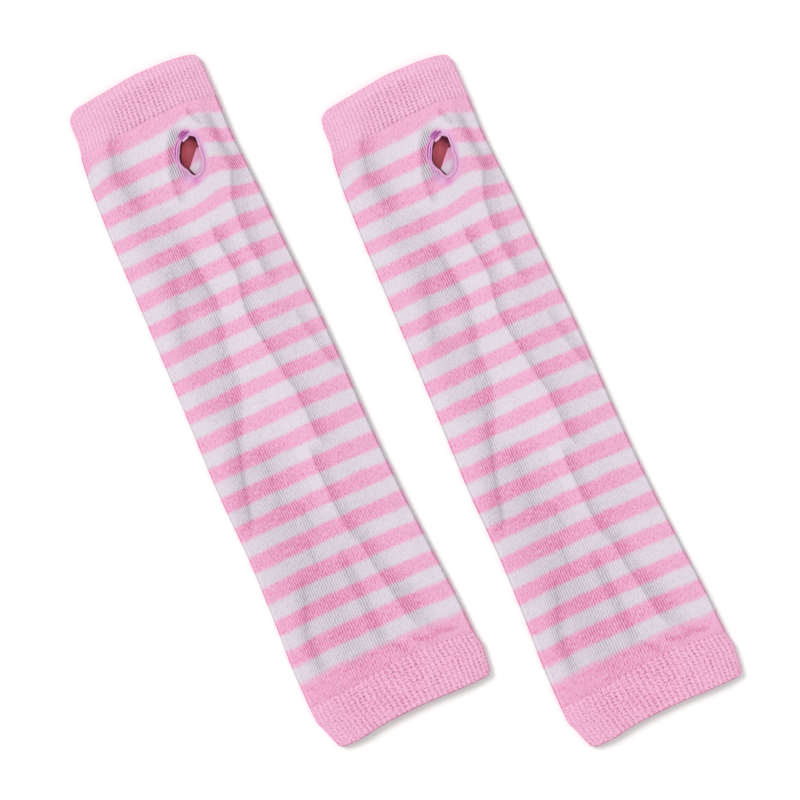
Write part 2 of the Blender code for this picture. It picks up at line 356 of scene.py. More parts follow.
@dataclass(frozen=True)
class Relief:
    """The form of the upper layer: its loft, its folds and what the thumb hole lifts, and the strokes of
    painted shade along its folds.
    """

    cloth: Cloth
    thumb: ThumbHole
    folds: tuple[Fold, ...] = (
        Fold(0.6, 3.4, trail(-22.5, 142.0, -27.0, 128.8, -24.8, 106.0)),
        Fold(0.75, 3.0, trail(21.6, 133.0, 23.6, 114.0, 17.2, 86.0, 17.8, 58.0)),
        Fold(0.75, 3.0, trail(-12.6, 78.0, -11.2, 64.0, -8.8, 54.0)),
        Fold(0.7, 3.4, trail(3.2, 80.0, 5.1, 63.0, 2.4, 38.0, 8.3, 3.0, 9.2, -22.0)),
        Fold(0.75, 3.4, trail(4.1, -30.0, 4.3, -58.0, 8.7, -86.0, 13.8, -115.0)),
        Fold(0.9, 3.4, trail(-20.0, 24.0, -24.5, 0.0, -34.5, -43.0)),
        Fold(0.95, 3.8, trail(-4.8, -80.0, -3.0, -103.0, -4.1, -119.0)),
        Fold(0.65, 3.6, trail(-26.2, -85.0, -32.0, -101.0, -34.5, -119.0)),
    )
    creases: tuple[Fold, ...] = (
        Fold(0.32, 2.6, trail(-23.6, 140.0, -25.9, 131.0, -27.6, 126.0)),
        Fold(0.36, 2.4, trail(0.2, 126.0, -4.0, 115.0, -4.8, 104.0)),
        Fold(0.32, 2.0, trail(-12.6, 77.0, -11.4, 66.0, -10.1, 55.0)),
        Fold(0.35, 2.4, LONG_DRAPE),
        Fold(0.36, 2.0, trail(22.4, 132.0, 23.0, 117.0, 24.7, 110.0, 20.1, 101.0, 17.2, 92.0, 16.1, 82.0)),
        Fold(0.26, 2.2, trail(23.0, 97.0, 21.3, 71.0, 17.8, 57.0)),
        Fold(0.32, 1.5, trail(15.0, 138.2, 17.2, 133.0)),
        Fold(-0.31, 3.0, trail(-12.0, 38.0, -14.4, 28.0, -14.8, 17.0, -18.0, 6.0)),
        Fold(0.39, 2.2, trail(-22.0, 4.0, -27.0, -12.7, -31.6, -27.6, -35.7, -45.0)),
        Fold(0.26, 2.0, trail(-18.4, -20.0, -19.6, -43.0)),
        Fold(0.27, 1.4, trail(-11.6, -49.0, -10.6, -58.0)),
        Fold(0.27, 1.4, trail(-15.4, -65.0, -16.2, -76.0)),
        Fold(
            0.36, 2.4,
            trail(3.0, -30.0, 3.5, -57.0, 4.8, -69.0, 7.3, -73.0, 8.6, -86.0, 11.5, -101.0, 13.5, -112.0),
        ),
        Fold(-0.32, 2.6, trail(-1.5, -82.0, -0.9, -100.0, -0.7, -117.0)),
        Fold(0.30, 2.0, trail(-5.2, -82.0, -4.6, -100.0, -6.0, -115.0)),
        Fold(0.32, 2.0, trail(-25.0, -80.0, -28.0, -90.0, -33.4, -102.0, -33.6, -118.0)),
        Fold(0.36, 1.3, ARM_PUCKER),
        Fold(0.32, 1.3, SHORT_PUCKER),
        Fold(0.27, 2.2, RIGHT_SLANT),
        Fold(0.22, 2.6, LEFT_SLANT),
        Fold(0.20, 2.2, trail(-14.6, 115.0, -14.4, 86.0)),
        Fold(0.19, 2.4, trail(20.0, -28.0, 22.0, -56.0)),
    )
    shade_strokes: tuple[ShadeStroke, ...] = (
        ShadeStroke(0.50, 2.4, 5.0, trail(-23.6, 141.0, -25.9, 131.0, -27.6, 126.0, -25.0, 112.0)),
        ShadeStroke(0.34, 6.0, 8.0, trail(-26.0, 127.0, -26.0, 96.0, -24.0, 62.0)),
        ShadeStroke(0.32, 7.0, 5.0, trail(-13.0, 96.0, -13.0, 60.0)),
        ShadeStroke(0.70, 6.0, 0.9, trail(-11.4, 79.0, -10.0, 66.0, -8.8, 54.0)),
        ShadeStroke(0.60, 1.4, 2.6, trail(1.0, 129.0, -3.0, 119.0, -4.4, 112.0, -4.8, 104.0)),
        ShadeStroke(0.60, 1.8, 1.8, trail(4.2, 133.0, 5.0, 130.6)),
        ShadeStroke(0.75, 0.9, 4.2, LONG_DRAPE),
        ShadeStroke(1.0, 2.6, 1.4, trail(22.6, 133.0, 23.4, 118.0, 24.7, 110.0)),
        ShadeStroke(0.75, 1.0, 5.0, trail(24.7, 110.0, 20.1, 101.0, 17.2, 92.0, 16.4, 70.0, 17.8, 57.0)),
        ShadeStroke(0.70, 1.0, 1.6, trail(14.6, 139.0, 17.4, 132.5)),
        ShadeStroke(0.50, 3.4, 3.4, LEFT_SLANT),
        ShadeStroke(
            0.85, 5.0, 1.4,
            trail(-11.0, 44.0, -14.4, 30.0, -15.0, 17.0, -19.0, 4.0, -23.6, -6.0, -28.0, -16.0, -35.7, -45.0),
        ),
        ShadeStroke(0.35, 9.0, 7.0, trail(-25.0, 44.0, -26.0, 8.0)),
        ShadeStroke(0.45, 3.0, 3.0, trail(-18.4, -18.0, -19.6, -44.0)),
        ShadeStroke(0.40, 11.0, 9.0, trail(-20.0, -22.0, -20.0, -76.0)),
        ShadeStroke(0.55, 2.2, 1.2, trail(-11.6, -48.0, -10.6, -58.5)),
        ShadeStroke(0.55, 1.6, 1.2, trail(-15.4, -64.0, -16.2, -77.0)),
        ShadeStroke(
            0.85, 0.9, 4.6,
            trail(3.0, -30.0, 3.5, -57.0, 4.8, -69.0, 7.3, -73.0, 8.6, -86.0, 11.5, -101.0, 13.5, -114.0),
        ),
        ShadeStroke(0.95, 5.0, 0.9, trail(-1.6, -82.0, -0.9, -100.0, -0.7, -118.0)),
        ShadeStroke(0.90, 3.2, 2.8, trail(-25.6, -82.0, -29.0, -92.0, -33.4, -103.0, -33.4, -119.0)),
        ShadeStroke(0.50, 9.0, 7.0, trail(-17.0, -88.0, -15.0, -119.0)),
        ShadeStroke(0.45, 3.0, 7.0, trail(14.0, -100.0, 18.0, -119.0)),
        ShadeStroke(0.80, 1.2, 1.2, ARM_PUCKER),
        ShadeStroke(0.70, 1.2, 1.4, SHORT_PUCKER),
        ShadeStroke(0.50, 1.0, 3.0, RIGHT_SLANT),
        ShadeStroke(0.22, 8.0, 8.0, trail(15.0, 48.0, 16.0, -60.0)),
        ShadeStroke(0.33, 50.0, 22.0, trail(-4.0, -75.0, -4.0, -130.0)),
    )
    ripple: float = 0.06
    crisp: float = 0.34
    softened: float = 0.2
    sharpened: float = 0.13
    sharp_run: float = 1.6
    sharp_reach: float = 1.3
    creased: float = 0.5
    shade_gain: float = 1.1

    @staticmethod
    def offset(x: Array, y: Array, path: Sequence[Mark]) -> tuple[Array, Array]:
        """Measure points from a path.

        Args:
            x: Places across the glove.
            y: Places along the glove.
            path: The path's points, from the hand towards the arm.

        Returns:
            The distance from the path, and how far each point lies to its right.
        """
        nearest = np.full(np.shape(x), np.inf)
        beside = np.zeros(np.shape(x))
        for start, end in zip(path, path[1:]):
            run_x, run_y = end.across - start.across, end.along - start.along
            length = math.hypot(run_x, run_y)
            share = ((x - start.across) * run_x + (y - start.along) * run_y) / length**2
            share = np.clip(share, 0.0, 1.0)
            gap_x = x - mix(start.across, end.across, share)
            gap_y = y - mix(start.along, end.along, share)
            distance = np.hypot(gap_x, gap_y)
            closer = distance < nearest
            sideways = (gap_y * run_x - gap_x * run_y) / length
            nearest = np.where(closer, distance, nearest)
            beside = np.where(closer, sideways, beside)
        return nearest, beside

    def fold_height(self, fold: Fold, x: Array, y: Array) -> Array:
        """Work out a fold's crest to the left of its path and its trough to the right.

        Args:
            fold: The fold.
            x: Places across the glove.
            y: Places along the glove.

        Returns:
            The height that the fold adds at each place.
        """
        distance, beside = self.offset(x, y, fold.path)
        soft = (beside / fold.width) * np.exp(0.5 - 0.5 * (distance / fold.width) ** 2)
        sharp = np.tanh(beside / (self.sharp_run * self.crisp))
        sharp = sharp * bump(distance, self.sharp_reach * fold.width)
        return -fold.height * (self.softened * soft + self.sharpened * sharp)

    def crease_height(self, crease: Fold, x: Array, y: Array) -> Array:
        """Return a crease's step: down to the right of its path, or up where it is negative."""
        distance, beside = self.offset(x, y, crease.path)
        return -self.creased * crease.height * np.tanh(beside / self.crisp) * bump(distance, crease.width)

    def ripples(self, x: Array, y: Array) -> Array:
        """Work out the small unevenness of relaxed jersey.

        Args:
            x: Places across the glove.
            y: Places along the glove.

        Returns:
            The height that it adds at each place.
        """
        slow = np.sin(x / 7.3 + 1.7 * np.sin(y / 31.0)) * np.sin(y / 19.0 + 0.9)
        quick = np.sin(x / 3.1 + y / 23.0) * np.sin(y / 8.7 - x / 11.0 + 2.1)
        return self.ripple * (slow + 0.5 * quick)

    def loft(self, x: Array, y: Array, left: Array, right: Array) -> Array:
        """Work out how far the upper layer stands above its flattest state.

        Args:
            x: Places across the glove.
            y: Places along the glove.
            left: Where the glove's left side is at each of them.
            right: Where its right side is.

        Returns:
            The height above the flattest state.
        """
        cloth, thumb = self.cloth, self.thumb
        margin = np.maximum(np.minimum(x - left, right - x) - cloth.side_radius, 0.0)
        window = 1 - bump(margin, cloth.loft_margin)
        away = np.hypot(x - thumb.across, y - thumb.along)
        height = cloth.loft + thumb.lift * bump(away, thumb.lift_reach)
        height = height + sum(self.fold_height(fold, x, y) for fold in self.folds)
        height = height + sum(self.crease_height(crease, x, y) for crease in self.creases)
        height = height + self.ripples(x, y)
        return window * (height + np.hypot(height, cloth.softest_dip)) / 2

    def painted_shade(self, x: Array, y: Array) -> Array:
        """Work out how deep the painted shade along the folds is at each point.

        Args:
            x: Places across the glove.
            y: Places along the glove.

        Returns:
            The depth of the painted shade, from 0 in the open to about 1.
        """
        total = np.zeros(np.shape(x))
        for shade_stroke in self.shade_strokes:
            distance, beside = self.offset(x, y, shade_stroke.path)
            total = total + shade_stroke.depth * bump(distance, np.where(beside < 0, shade_stroke.left, shade_stroke.right))
        return 1 - np.exp(-self.shade_gain * total)


@dataclass(frozen=True)
class StripePlan:
    """The white stripes, and where the cloth is drawn so that they bend.

    The count of stripes runs on a little beyond the first and the last of them, into the
    plain pink at the two ends.
    """

    bands: tuple[Band, ...] = (
        Band(-121.0, -113.2), Band(-104.9, -97.5), Band(-90.2, -82.3), Band(-74.5, -67.2),
        Band(-59.3, -52.0), Band(-44.2, -37.3), Band(-29.4, -22.1), Band(-14.7, -7.4),
        Band(0.0, 7.4), Band(14.3, 21.6), Band(28.5, 35.9), Band(42.8, 50.1),
        Band(57.0, 63.9), Band(71.3, 78.2), Band(85.1, 92.0), Band(98.0, 105.3),
        Band(112.7, 119.6), Band(127.0, 134.8),
    )
    pulls: tuple[Pull, ...] = (
        Pull(14.0, 120.0, 9.0, 32.0, 3.3),
        Pull(29.0, 130.0, 6.0, 20.0, -2.2),
        Pull(-41.0, 131.0, 6.0, 12.0, -4.0),
        Pull(-21.0, 132.0, 10.0, 12.0, -0.8),
        Pull(-45.0, -105.0, 14.0, 50.0, -1.6),
        Pull(36.0, -100.0, 12.0, 60.0, -0.6),
        Pull(-42.0, 40.0, 12.0, 60.0, -0.8),
        Pull(8.0, 20.0, 14.0, 50.0, 0.5),
    )
    run_on: float = 8.0
    run_on_count: float = 0.25

    def dyed(self, x: Array, y: Array, drawn: Array) -> Array:
        """Count the stripes up to a point.

        Args:
            x: Places across the glove.
            y: Places along the glove.
            drawn: The share of each pull that reaches the point.

        Returns:
            Whole numbers at the arm side of each white stripe, and halves at its hand side.
        """
        shift = np.zeros(np.shape(y))
        for pull in self.pulls:
            away = ((x - pull.across) / pull.reach_across) ** 2
            shift = shift + pull.shift * np.exp(-away - ((y - pull.along) / pull.reach_along) ** 2)
        edges = [edge for band in self.bands for edge in band]
        counts = [0.5 * i for i in range(len(edges))]
        places = [edges[0] - self.run_on] + edges + [edges[-1] + self.run_on]
        counts = [counts[0] - self.run_on_count] + counts + [counts[-1] + self.run_on_count]
        return np.interp(y - drawn * shift, places, counts)


def linear(colour: Colour) -> tuple[float, float, float, float]:
    """Turn a colour of 0 to 255 into light, by the curve that screens use.

    Args:
        colour: Its red, green and blue.

    Returns:
        The light's red, green and blue, and full cover.
    """
    shares = [c / 255 for c in colour]
    lights = [s / 12.92 if s <= 0.04045 else ((s + 0.055) / 1.055) ** 2.4 for s in shares]
    return (lights[0], lights[1], lights[2], 1.0)


class Noise(NamedTuple):
    """A noise: how fine it is, a factor for each of a layer's two numbers, and its octaves."""

    scale: float
    across: float
    along: float
    detail: float = 2.0


class HalfPlane(NamedTuple):
    """A line near the thumb hole, as the factors that give how far inside it a point lies."""

    across: float
    along: float
    shift: float


class Spot(NamedTuple):
    """A soft round spot, placed from the middle of the thumb hole."""

    across: float
    along: float
    reach: float


@dataclass(frozen=True)
class Value:
    """A number or a colour that a material works out, with sums that add their own nodes."""

    canvas: Canvas
    socket: Socket

    def math(self, operation: str, *others: Value | float) -> Value:
        """Return what a Math node makes of this value and some others."""
        return self.canvas.math(operation, self, *others)

    def __add__(self, other: Value | float) -> Value:
        """Return the sum of both."""
        return self.math("ADD", other)

    def __sub__(self, other: Value | float) -> Value:
        """Return how far this value is above the other."""
        return self.math("SUBTRACT", other)

    def __rsub__(self, other: float) -> Value:
        """Return how far this value is below a number."""
        return self.canvas.math("SUBTRACT", other, self)

    def __mul__(self, other: Value | float) -> Value:
        """Return the product of both."""
        return self.math("MULTIPLY", other)

    def __pow__(self, power: float) -> Value:
        """Return this value raised to a power."""
        return self.math("POWER", power)

    def wave(self) -> Value:
        """Return a wave from -1 to 1 that is highest at whole numbers."""
        return (self * math.tau).math("COSINE")

    def aside(self) -> Value:
        """Return how far a stitch count is from the middle of its stitch, 1 at its edge."""
        return (self.math("FRACT") - 0.5).math("ABSOLUTE") * 2.0

    def ease(self, low: float, high: float) -> Value:
        """Make a soft step from 0 at low to 1 at high, or down where high is lower.

        Args:
            low: Where the step is 0.
            high: Where it is 1.

        Returns:
            The step.
        """
        made = self.canvas.node("ShaderNodeMapRange")
        made.interpolation_type = "SMOOTHSTEP"
        ends = {"From Min": min(low, high), "From Max": max(low, high),
                "To Min": float(low > high), "To Max": float(low < high)}
        for name, source in {"Value": self, **ends}.items():
            self.canvas.plug(source, made.inputs[name])
        return Value(self.canvas, made.outputs["Result"])


class Canvas:
    """The node tree of one material, with short ways to add to it."""

    def __init__(self, name: str) -> None:
        """Start a material that has a shader and nothing else.

        Args:
            name: The material's name.
        """
        self.material = bpy.data.materials.new(name)
        self.material.use_nodes = True
        self.tree = self.material.node_tree
        self.shader = self.tree.nodes["Principled BSDF"]

    def node(self, kind: str) -> bpy.types.Node:
        """Add a node of one kind."""
        return self.tree.nodes.new(kind)

    def plug(self, source: Value | Colour | float, target: Socket) -> None:
        """Link a value to a socket, or set a colour or a number there.

        Args:
            source: The value, colour or number.
            target: The socket.
        """
        if isinstance(source, Value):
            self.tree.links.new(source.socket, target)
        else:
            target.default_value = linear(source) if isinstance(source, tuple) else source

    def math(self, operation: str, *values: Value | float) -> Value:
        """Add a Math node.

        Args:
            operation: The node's operation.
            values: Its inputs.

        Returns:
            Its output.
        """
        made = self.node("ShaderNodeMath")
        made.operation = operation
        for value, target in zip(values, made.inputs):
            self.plug(value, target)
        return Value(self, made.outputs[0])

    def read(self, layer: Layer) -> Value:
        """Read one of the mesh's layers.

        Args:
            layer: The layer.

        Returns:
            Its pair of numbers, as a vector.
        """
        made = self.node("ShaderNodeUVMap")
        made.uv_map = layer.value
        return Value(self, made.outputs["UV"])

    def pair(self, layer: Layer) -> tuple[Value, Value]:
        """Read the two numbers of a layer, apart.

        Args:
            layer: The layer.

        Returns:
            The first number and the second.
        """
        split = self.node("ShaderNodeSeparateXYZ")
        self.plug(self.read(layer), split.inputs["Vector"])
        return Value(self, split.outputs["X"]), Value(self, split.outputs["Y"])

    def blend(self, share: Value, first: Value | Colour, second: Value | Colour) -> Value:
        """Mix two colours.

        Args:
            share: How much of the second one there is.
            first: The first colour.
            second: The second colour.

        Returns:
            The mixed colour.
        """
        made = self.node("ShaderNodeMix")
        made.data_type = "RGBA"
        made.clamp_factor = True
        # The names of this node's sockets repeat: 6 and 7 are its colours, and 2 comes out.
        for source, index in ((share, 0), (first, 6), (second, 7)):
            self.plug(source, made.inputs[index])
        return Value(self, made.outputs[2])

    def grain(self, noise: Noise, layer: Layer = Layer.STITCH) -> Value:
        """Lay a noise over one of the mesh's layers.

        Args:
            noise: The noise.
            layer: The layer whose pair of numbers the noise lies over.

        Returns:
            The noise, from about -0.5 to 0.5.
        """
        mapped, made = self.node("ShaderNodeMapping"), self.node("ShaderNodeTexNoise")
        mapped.inputs["Scale"].default_value = (noise.across, noise.along, 1.0)
        self.plug(self.read(layer), mapped.inputs["Vector"])
        self.plug(Value(self, mapped.outputs["Vector"]), made.inputs["Vector"])
        self.plug(noise.scale, made.inputs["Scale"])
        self.plug(noise.detail, made.inputs["Detail"])
        return Value(self, made.outputs["Fac"]) - 0.5

    def finish(self, colour: Value, height: Value, depth: float, strength: float,
               yarn: YarnLook) -> bpy.types.Material:
        """Plug the colour and the stitches' height into the shader.

        Args:
            colour: The base colour.
            height: The height, from 0 to about 1.
            depth: The relief that a height of 1 stands for, in metres.
            strength: The bump's strength.
            yarn: How the yarn catches the light.

        Returns:
            The material.
        """
        raised = self.node("ShaderNodeBump")
        for name, source in {"Strength": strength, "Distance": depth, "Height": height}.items():
            self.plug(source, raised.inputs[name])
        settings = {
            "Base Color": colour,
            "Normal": Value(self, raised.outputs["Normal"]),
            "Roughness": yarn.roughness,
            "Specular IOR Level": yarn.specular,
            "Sheen Weight": yarn.sheen,
            "Sheen Roughness": yarn.sheen_roughness,
            "Sheen Tint": yarn.sheen_tint,
        }
        for name, source in settings.items():
            self.plug(source, self.shader.inputs[name])
        return self.material


@dataclass(frozen=True)
class YarnLook:
    """How a yarn catches the light."""

    roughness: float = 0.92
    specular: float = 0.22
    sheen: float = 0.22
    sheen_roughness: float = 0.45
    sheen_tint: Colour = (255, 236, 246)


@dataclass(frozen=True)
class Stitching:
    """What a material reads of a knit at each point.

    canvas is the material's, height how high its stitches stand, aside the place in the
    wale, grain their unevenness, band the stripe count, and hollow how deep the painted shade
    of the folds and the sides is there.
    """

    canvas: Canvas
    height: Value
    aside: Value
    grain: Value
    band: Value
    painted_shade: Value


@dataclass(frozen=True)
class JerseyFinish:
    """Fine jersey: white stripes on pink, in V-shaped stitches that lie a little unevenly."""

    yarn: YarnLook = YarnLook()
    # The deep pink and the deep white stand for painted shade in the folds, between the wales and along the
    # sides, and for the knit's random mottle.
    pink: Colour = (235, 177, 208)
    pink_shade_and_mottle: Colour = (222, 116, 165)
    white: Colour = (223, 213, 222)
    white_shade_and_mottle: Colour = (174, 165, 180)
    lilac: Colour = (226, 172, 216)
    # The wine colours are painted shade: the dark inside of the tube seen through the thumb hole, darker
    # towards the lit lower right (wine_lit) so that it looks even, and darkest at the rim and in its lower
    # left corner (wine_shade).
    wine: Colour = (236, 112, 128)
    wine_lit: Colour = (160, 70, 84)
    wine_shade: Colour = (96, 34, 62)
    purple: Colour = (216, 104, 184)
    gathered_shade: Colour = (150, 112, 148)
    stitch_grain: Noise = Noise(1.0, 2.2, 0.5, 1.0)
    slant: float = 0.55
    puff: float = 0.3
    crown_power: float = 2.5
    stripe_waves: Noise = Noise(0.1, 1.0, 0.6)
    stripe_wander: float = 0.11
    stripe_teeth: float = 0.03
    stripe_middle: float = 0.25
    stripe_edge: float = 0.25
    stripe_blur: float = 0.08
    speckle: float = 2.2
    fold_speckle: float = 0.8
    white_share: float = 0.6
    white_speckle: float = 0.25
    patches: Noise = Noise(0.16, 0.6, 0.25)
    patch_depth: float = 0.2
    fold_depth: float = 0.24
    groove_depth: float = 0.14
    fold_groove: float = 1.65
    fuzz: Noise = Noise(2.6, 1.0, 0.9)
    fuzz_height: float = 0.5
    grain_height: float = 0.5
    wale_relief: float = 0.35
    fold_relief: float = 1.05
    oval_wide: float = 5.3
    oval_tall: float = 9.4
    gather_out: tuple[float, float] = (2.3, 1.3)
    gather_left: tuple[float, float] = (3.0, -3.0)
    gather_up: tuple[float, float] = (-11.0, -6.0)
    gather_grain: float = 3.0
    gather_colour: float = 0.45
    gather_shade: float = 0.2
    gather_relief: float = -2.0
    halo: tuple[float, float] = (1.62, 1.15)
    halo_depth: float = 0.9
    glows: tuple[Spot, ...] = (Spot(-2.2, -11.0, 3.0), Spot(1.6, 11.2, 3.6))
    glow_depth: float = 0.6
    rim_tint: tuple[float, float] = (0.68, 0.9)
    rim_tint_depth: float = 0.7
    shadow: tuple[HalfPlane, ...] = (
        HalfPlane(0.734, -0.679, -0.677), HalfPlane(0.936, 0.351, 4.28), HalfPlane(0.0, -1.0, 3.1),
    )
    shadow_edge: tuple[float, float] = (-0.2, 0.2)
    wine_run: tuple[float, float] = (-7.5, 0.5)
    wine_rim: tuple[float, float] = (0.76, 0.96)
    wine_rim_depth: float = 0.75
    wine_corner: Spot = Spot(-2.6, -6.4, 4.0)
    stitch_depth: float = 0.00034
    bump_outside: float = 0.8
    bump_inside: float = 0.6

    def stitches(self, canvas: Canvas) -> Stitching:
        """Work out the knit's V-shaped stitches and their unevenness.

        Args:
            canvas: The material's canvas.

        Returns:
            What the material reads of the knit.
        """
        wale, course = canvas.pair(Layer.STITCH)
        aside = wale.aside()
        plump = (aside * self.slant + course).wave() * self.puff + (1 - self.puff)
        height, grain = (1.0 - aside**self.crown_power) * plump, canvas.grain(self.stitch_grain)
        return Stitching(canvas, height, aside, grain, *canvas.pair(Layer.DYE))

    def striped(self, knit: Stitching, share: Value) -> Value:
        """Work out the stripes' colour, with small dashes along the wales.

        Args:
            knit: The stitches.
            share: How deep the colour is.

        Returns:
            The colour.
        """
        canvas = knit.canvas
        wander = canvas.grain(self.stripe_waves) * self.stripe_wander
        toothed = knit.aside * self.stripe_teeth + knit.band + wander
        apart = (toothed - self.stripe_middle).math("PINGPONG", 0.5)
        pink_share = apart.ease(self.stripe_edge - self.stripe_blur, self.stripe_edge + self.stripe_blur)
        speckle = knit.grain * (knit.painted_shade * self.fold_speckle + self.speckle)
        on_white = share * self.white_share - speckle * self.white_speckle
        pink = canvas.blend(share - speckle, self.pink, self.pink_shade_and_mottle)
        white = canvas.blend(on_white, self.white, self.white_shade_and_mottle)
        return canvas.blend(pink_share, white, pink)

    def depth(self, knit: Stitching) -> Value:
        """Work out how deep the colour is: painted shade in folds and between stitches, and random patches.

        Args:
            knit: The stitches.

        Returns:
            The depth.
        """
        groove = knit.aside**2.0 * (knit.painted_shade * self.fold_groove + self.groove_depth)
        patch = knit.canvas.grain(self.patches) * self.patch_depth
        return groove + knit.painted_shade * self.fold_depth + patch

    def relief(self, knit: Stitching) -> Value:
        """Work out the height of the stitches with their unevenness, most in the folds.

        Args:
            knit: The stitches.

        Returns:
            The height.
        """
        wales = knit.height * (knit.painted_shade * self.fold_relief + self.wale_relief)
        rough = knit.grain * (knit.painted_shade * self.grain_height + 1.0)
        return wales + rough + knit.canvas.grain(self.fuzz) * self.fuzz_height

    def thumb_oval(self, canvas: Canvas) -> Value:
        """Work out how far out each point lies from the thumb hole's middle.

        Args:
            canvas: The material's canvas.

        Returns:
            The distance, 1 at the hole's rim.
        """
        x, y = canvas.pair(Layer.PLACE)
        cosine, sine = math.cos(THUMB_LEAN), math.sin(THUMB_LEAN)
        wide = (x * cosine - y * sine) * (1 / self.oval_wide)
        tall = (x * sine + y * cosine) * (1 / self.oval_tall)
        return (wide * wide + tall * tall).math("SQRT")

    def spot(self, canvas: Canvas, spot: Spot) -> Value:
        """Draw a soft spot.

        Args:
            canvas: The material's canvas.
            spot: Where it is.

        Returns:
            The spot, 1 at its middle.
        """
        x, y = canvas.pair(Layer.PLACE)
        across, along = x - spot.across, y - spot.along
        return (across * across + along * along).math("SQRT").ease(spot.reach, 0.0)

    def outside(self, name: str) -> bpy.types.Material:
        """Make the outer face's material, tinted round the thumb hole, with painted shade between the wales
        drawn together there.

        Args:
            name: The material's name.

        Returns:
            The material.
        """
        canvas = Canvas(name)
        knit, oval = self.stitches(canvas), self.thumb_oval(canvas)
        x, y = canvas.pair(Layer.PLACE)
        drawn = oval.ease(*self.gather_out) * x.ease(*self.gather_left) * y.ease(*self.gather_up)
        # Painted shade in the gaps between the wales that the hole draws together: deeper colour and a grey.
        groove = drawn * (knit.grain * self.gather_grain + 1.0) * knit.aside**2.0
        colour = self.striped(knit, self.depth(knit) + groove * self.gather_colour)
        colour = canvas.blend(groove * self.gather_shade, colour, self.gathered_shade)
        colour = canvas.blend(oval.ease(*self.halo) * self.halo_depth, colour, self.lilac)
        for glow in self.glows:
            colour = canvas.blend(self.spot(canvas, glow) * self.glow_depth, colour, self.purple)
        height = self.relief(knit) + groove * self.gather_relief
        return canvas.finish(colour, height, self.stitch_depth, self.bump_outside, self.yarn)

    def inside(self, name: str) -> bpy.types.Material:
        """Make the inner face's material, with the painted shade that the thumb hole shows.

        Args:
            name: The material's name.

        Returns:
            The material.
        """
        canvas = Canvas(name)
        knit, oval = self.stitches(canvas), self.thumb_oval(canvas)
        colour = self.striped(knit, self.depth(knit))
        colour = canvas.blend(oval.ease(*self.rim_tint) * self.rim_tint_depth, colour, self.lilac)
        # The wine red within the three lines is painted shade, and where they meet the lit inside is a
        # painted shadow edge.
        x, y = canvas.pair(Layer.PLACE)
        within = [x * edge.across + y * edge.along + edge.shift for edge in self.shadow]
        edge = within[0].math("MINIMUM", within[1]).math("MINIMUM", within[2])
        wine = canvas.blend(within[0].ease(*self.wine_run), self.wine, self.wine_lit)
        shade = oval.ease(*self.wine_rim) * self.wine_rim_depth
        shade = shade.math("MAXIMUM", self.spot(canvas, self.wine_corner))
        wine = canvas.blend(shade, wine, self.wine_shade)
        colour = canvas.blend(edge.ease(*self.shadow_edge), wine, colour)
        return canvas.finish(colour, self.relief(knit), self.stitch_depth, self.bump_inside, self.yarn)


@dataclass(frozen=True)
class RibFinish:
    """Pink 1 knit 1 purl rib, whose courses show as a ladder of dots of painted shade between the ribs."""

    yarn: YarnLook = YarnLook()
    pink: Colour = (237, 183, 210)
    # The deep pink stands for painted shade in the ladder's dots, beside the ribs, round the lip and along
    # the sides, and for the yarn's random mottle.
    pink_shade_and_mottle: Colour = (210, 110, 160)
    shaded: Colour = (150, 82, 118)
    shaded_from: tuple[float, float] = (2.0, 5.0)
    stitch_grain: Noise = Noise(2.2, 1.3, 0.9, 1.0)
    warp: Noise = Noise(0.6, 1.0, 0.5, 1.0)
    gaps: Noise = Noise(0.45, 1.0, 0.6)
    patches: Noise = Noise(0.22, 1.0, 1.0)
    grain_shift: float = 0.8
    warp_shift: float = 1.3
    dot_power: float = 1.5
    groove_power: float = 1.6
    on_crown: float = 0.15
    ladder: float = 0.38
    uneven: float = 3.0
    rung_relief: float = -1.5
    grain_relief: float = 1.2
    painted_shade_depth: float = 0.45
    rib_depth: float = 0.18
    rib_strength: float = 0.6
    rib_least: float = 0.2
    grain_depth: float = -2.8
    patch_depth: float = 0.4
    stitch_depth: float = 0.00036
    bump_strength: float = 0.8

    def material(self, name: str) -> bpy.types.Material:
        """Make the rib's material.

        Args:
            name: The material's name.

        Returns:
            The material.
        """
        canvas = Canvas(name)
        rib, course = canvas.pair(Layer.STITCH)
        strength, painted_shade = canvas.pair(Layer.DYE)
        noises = self.stitch_grain, self.warp, self.gaps, self.patches
        grain, warp, gaps, patch = (canvas.grain(noise) for noise in noises)
        aside = rib.aside()
        dots = (course + warp * self.warp_shift + grain * self.grain_shift).wave()
        dots = (dots * 0.5 + 0.5)**self.dot_power
        rung = dots * (aside**self.groove_power * (1 - self.on_crown) + self.on_crown)
        rung = rung * strength * (gaps * self.uneven + 1.0)
        height = 1.0 - aside**2.0 + rung * (self.rung_relief * self.ladder) + grain * self.grain_relief
        # Painted shade in the ladder's dots and beside the ribs, with the lip's and the sides' painted shade
        # from hollow; grain and patch are random mottle.
        ribbed = aside * (strength * self.rib_strength + self.rib_least)
        dark = rung * self.ladder + painted_shade * self.painted_shade_depth + ribbed * self.rib_depth
        dark = dark + grain * self.grain_depth + patch * self.patch_depth
        colour = canvas.blend(dark, self.pink, self.pink_shade_and_mottle)
        colour = canvas.blend(painted_shade.ease(*self.shaded_from), colour, self.shaded)
        return canvas.finish(colour, height, self.stitch_depth, self.bump_strength, self.yarn)


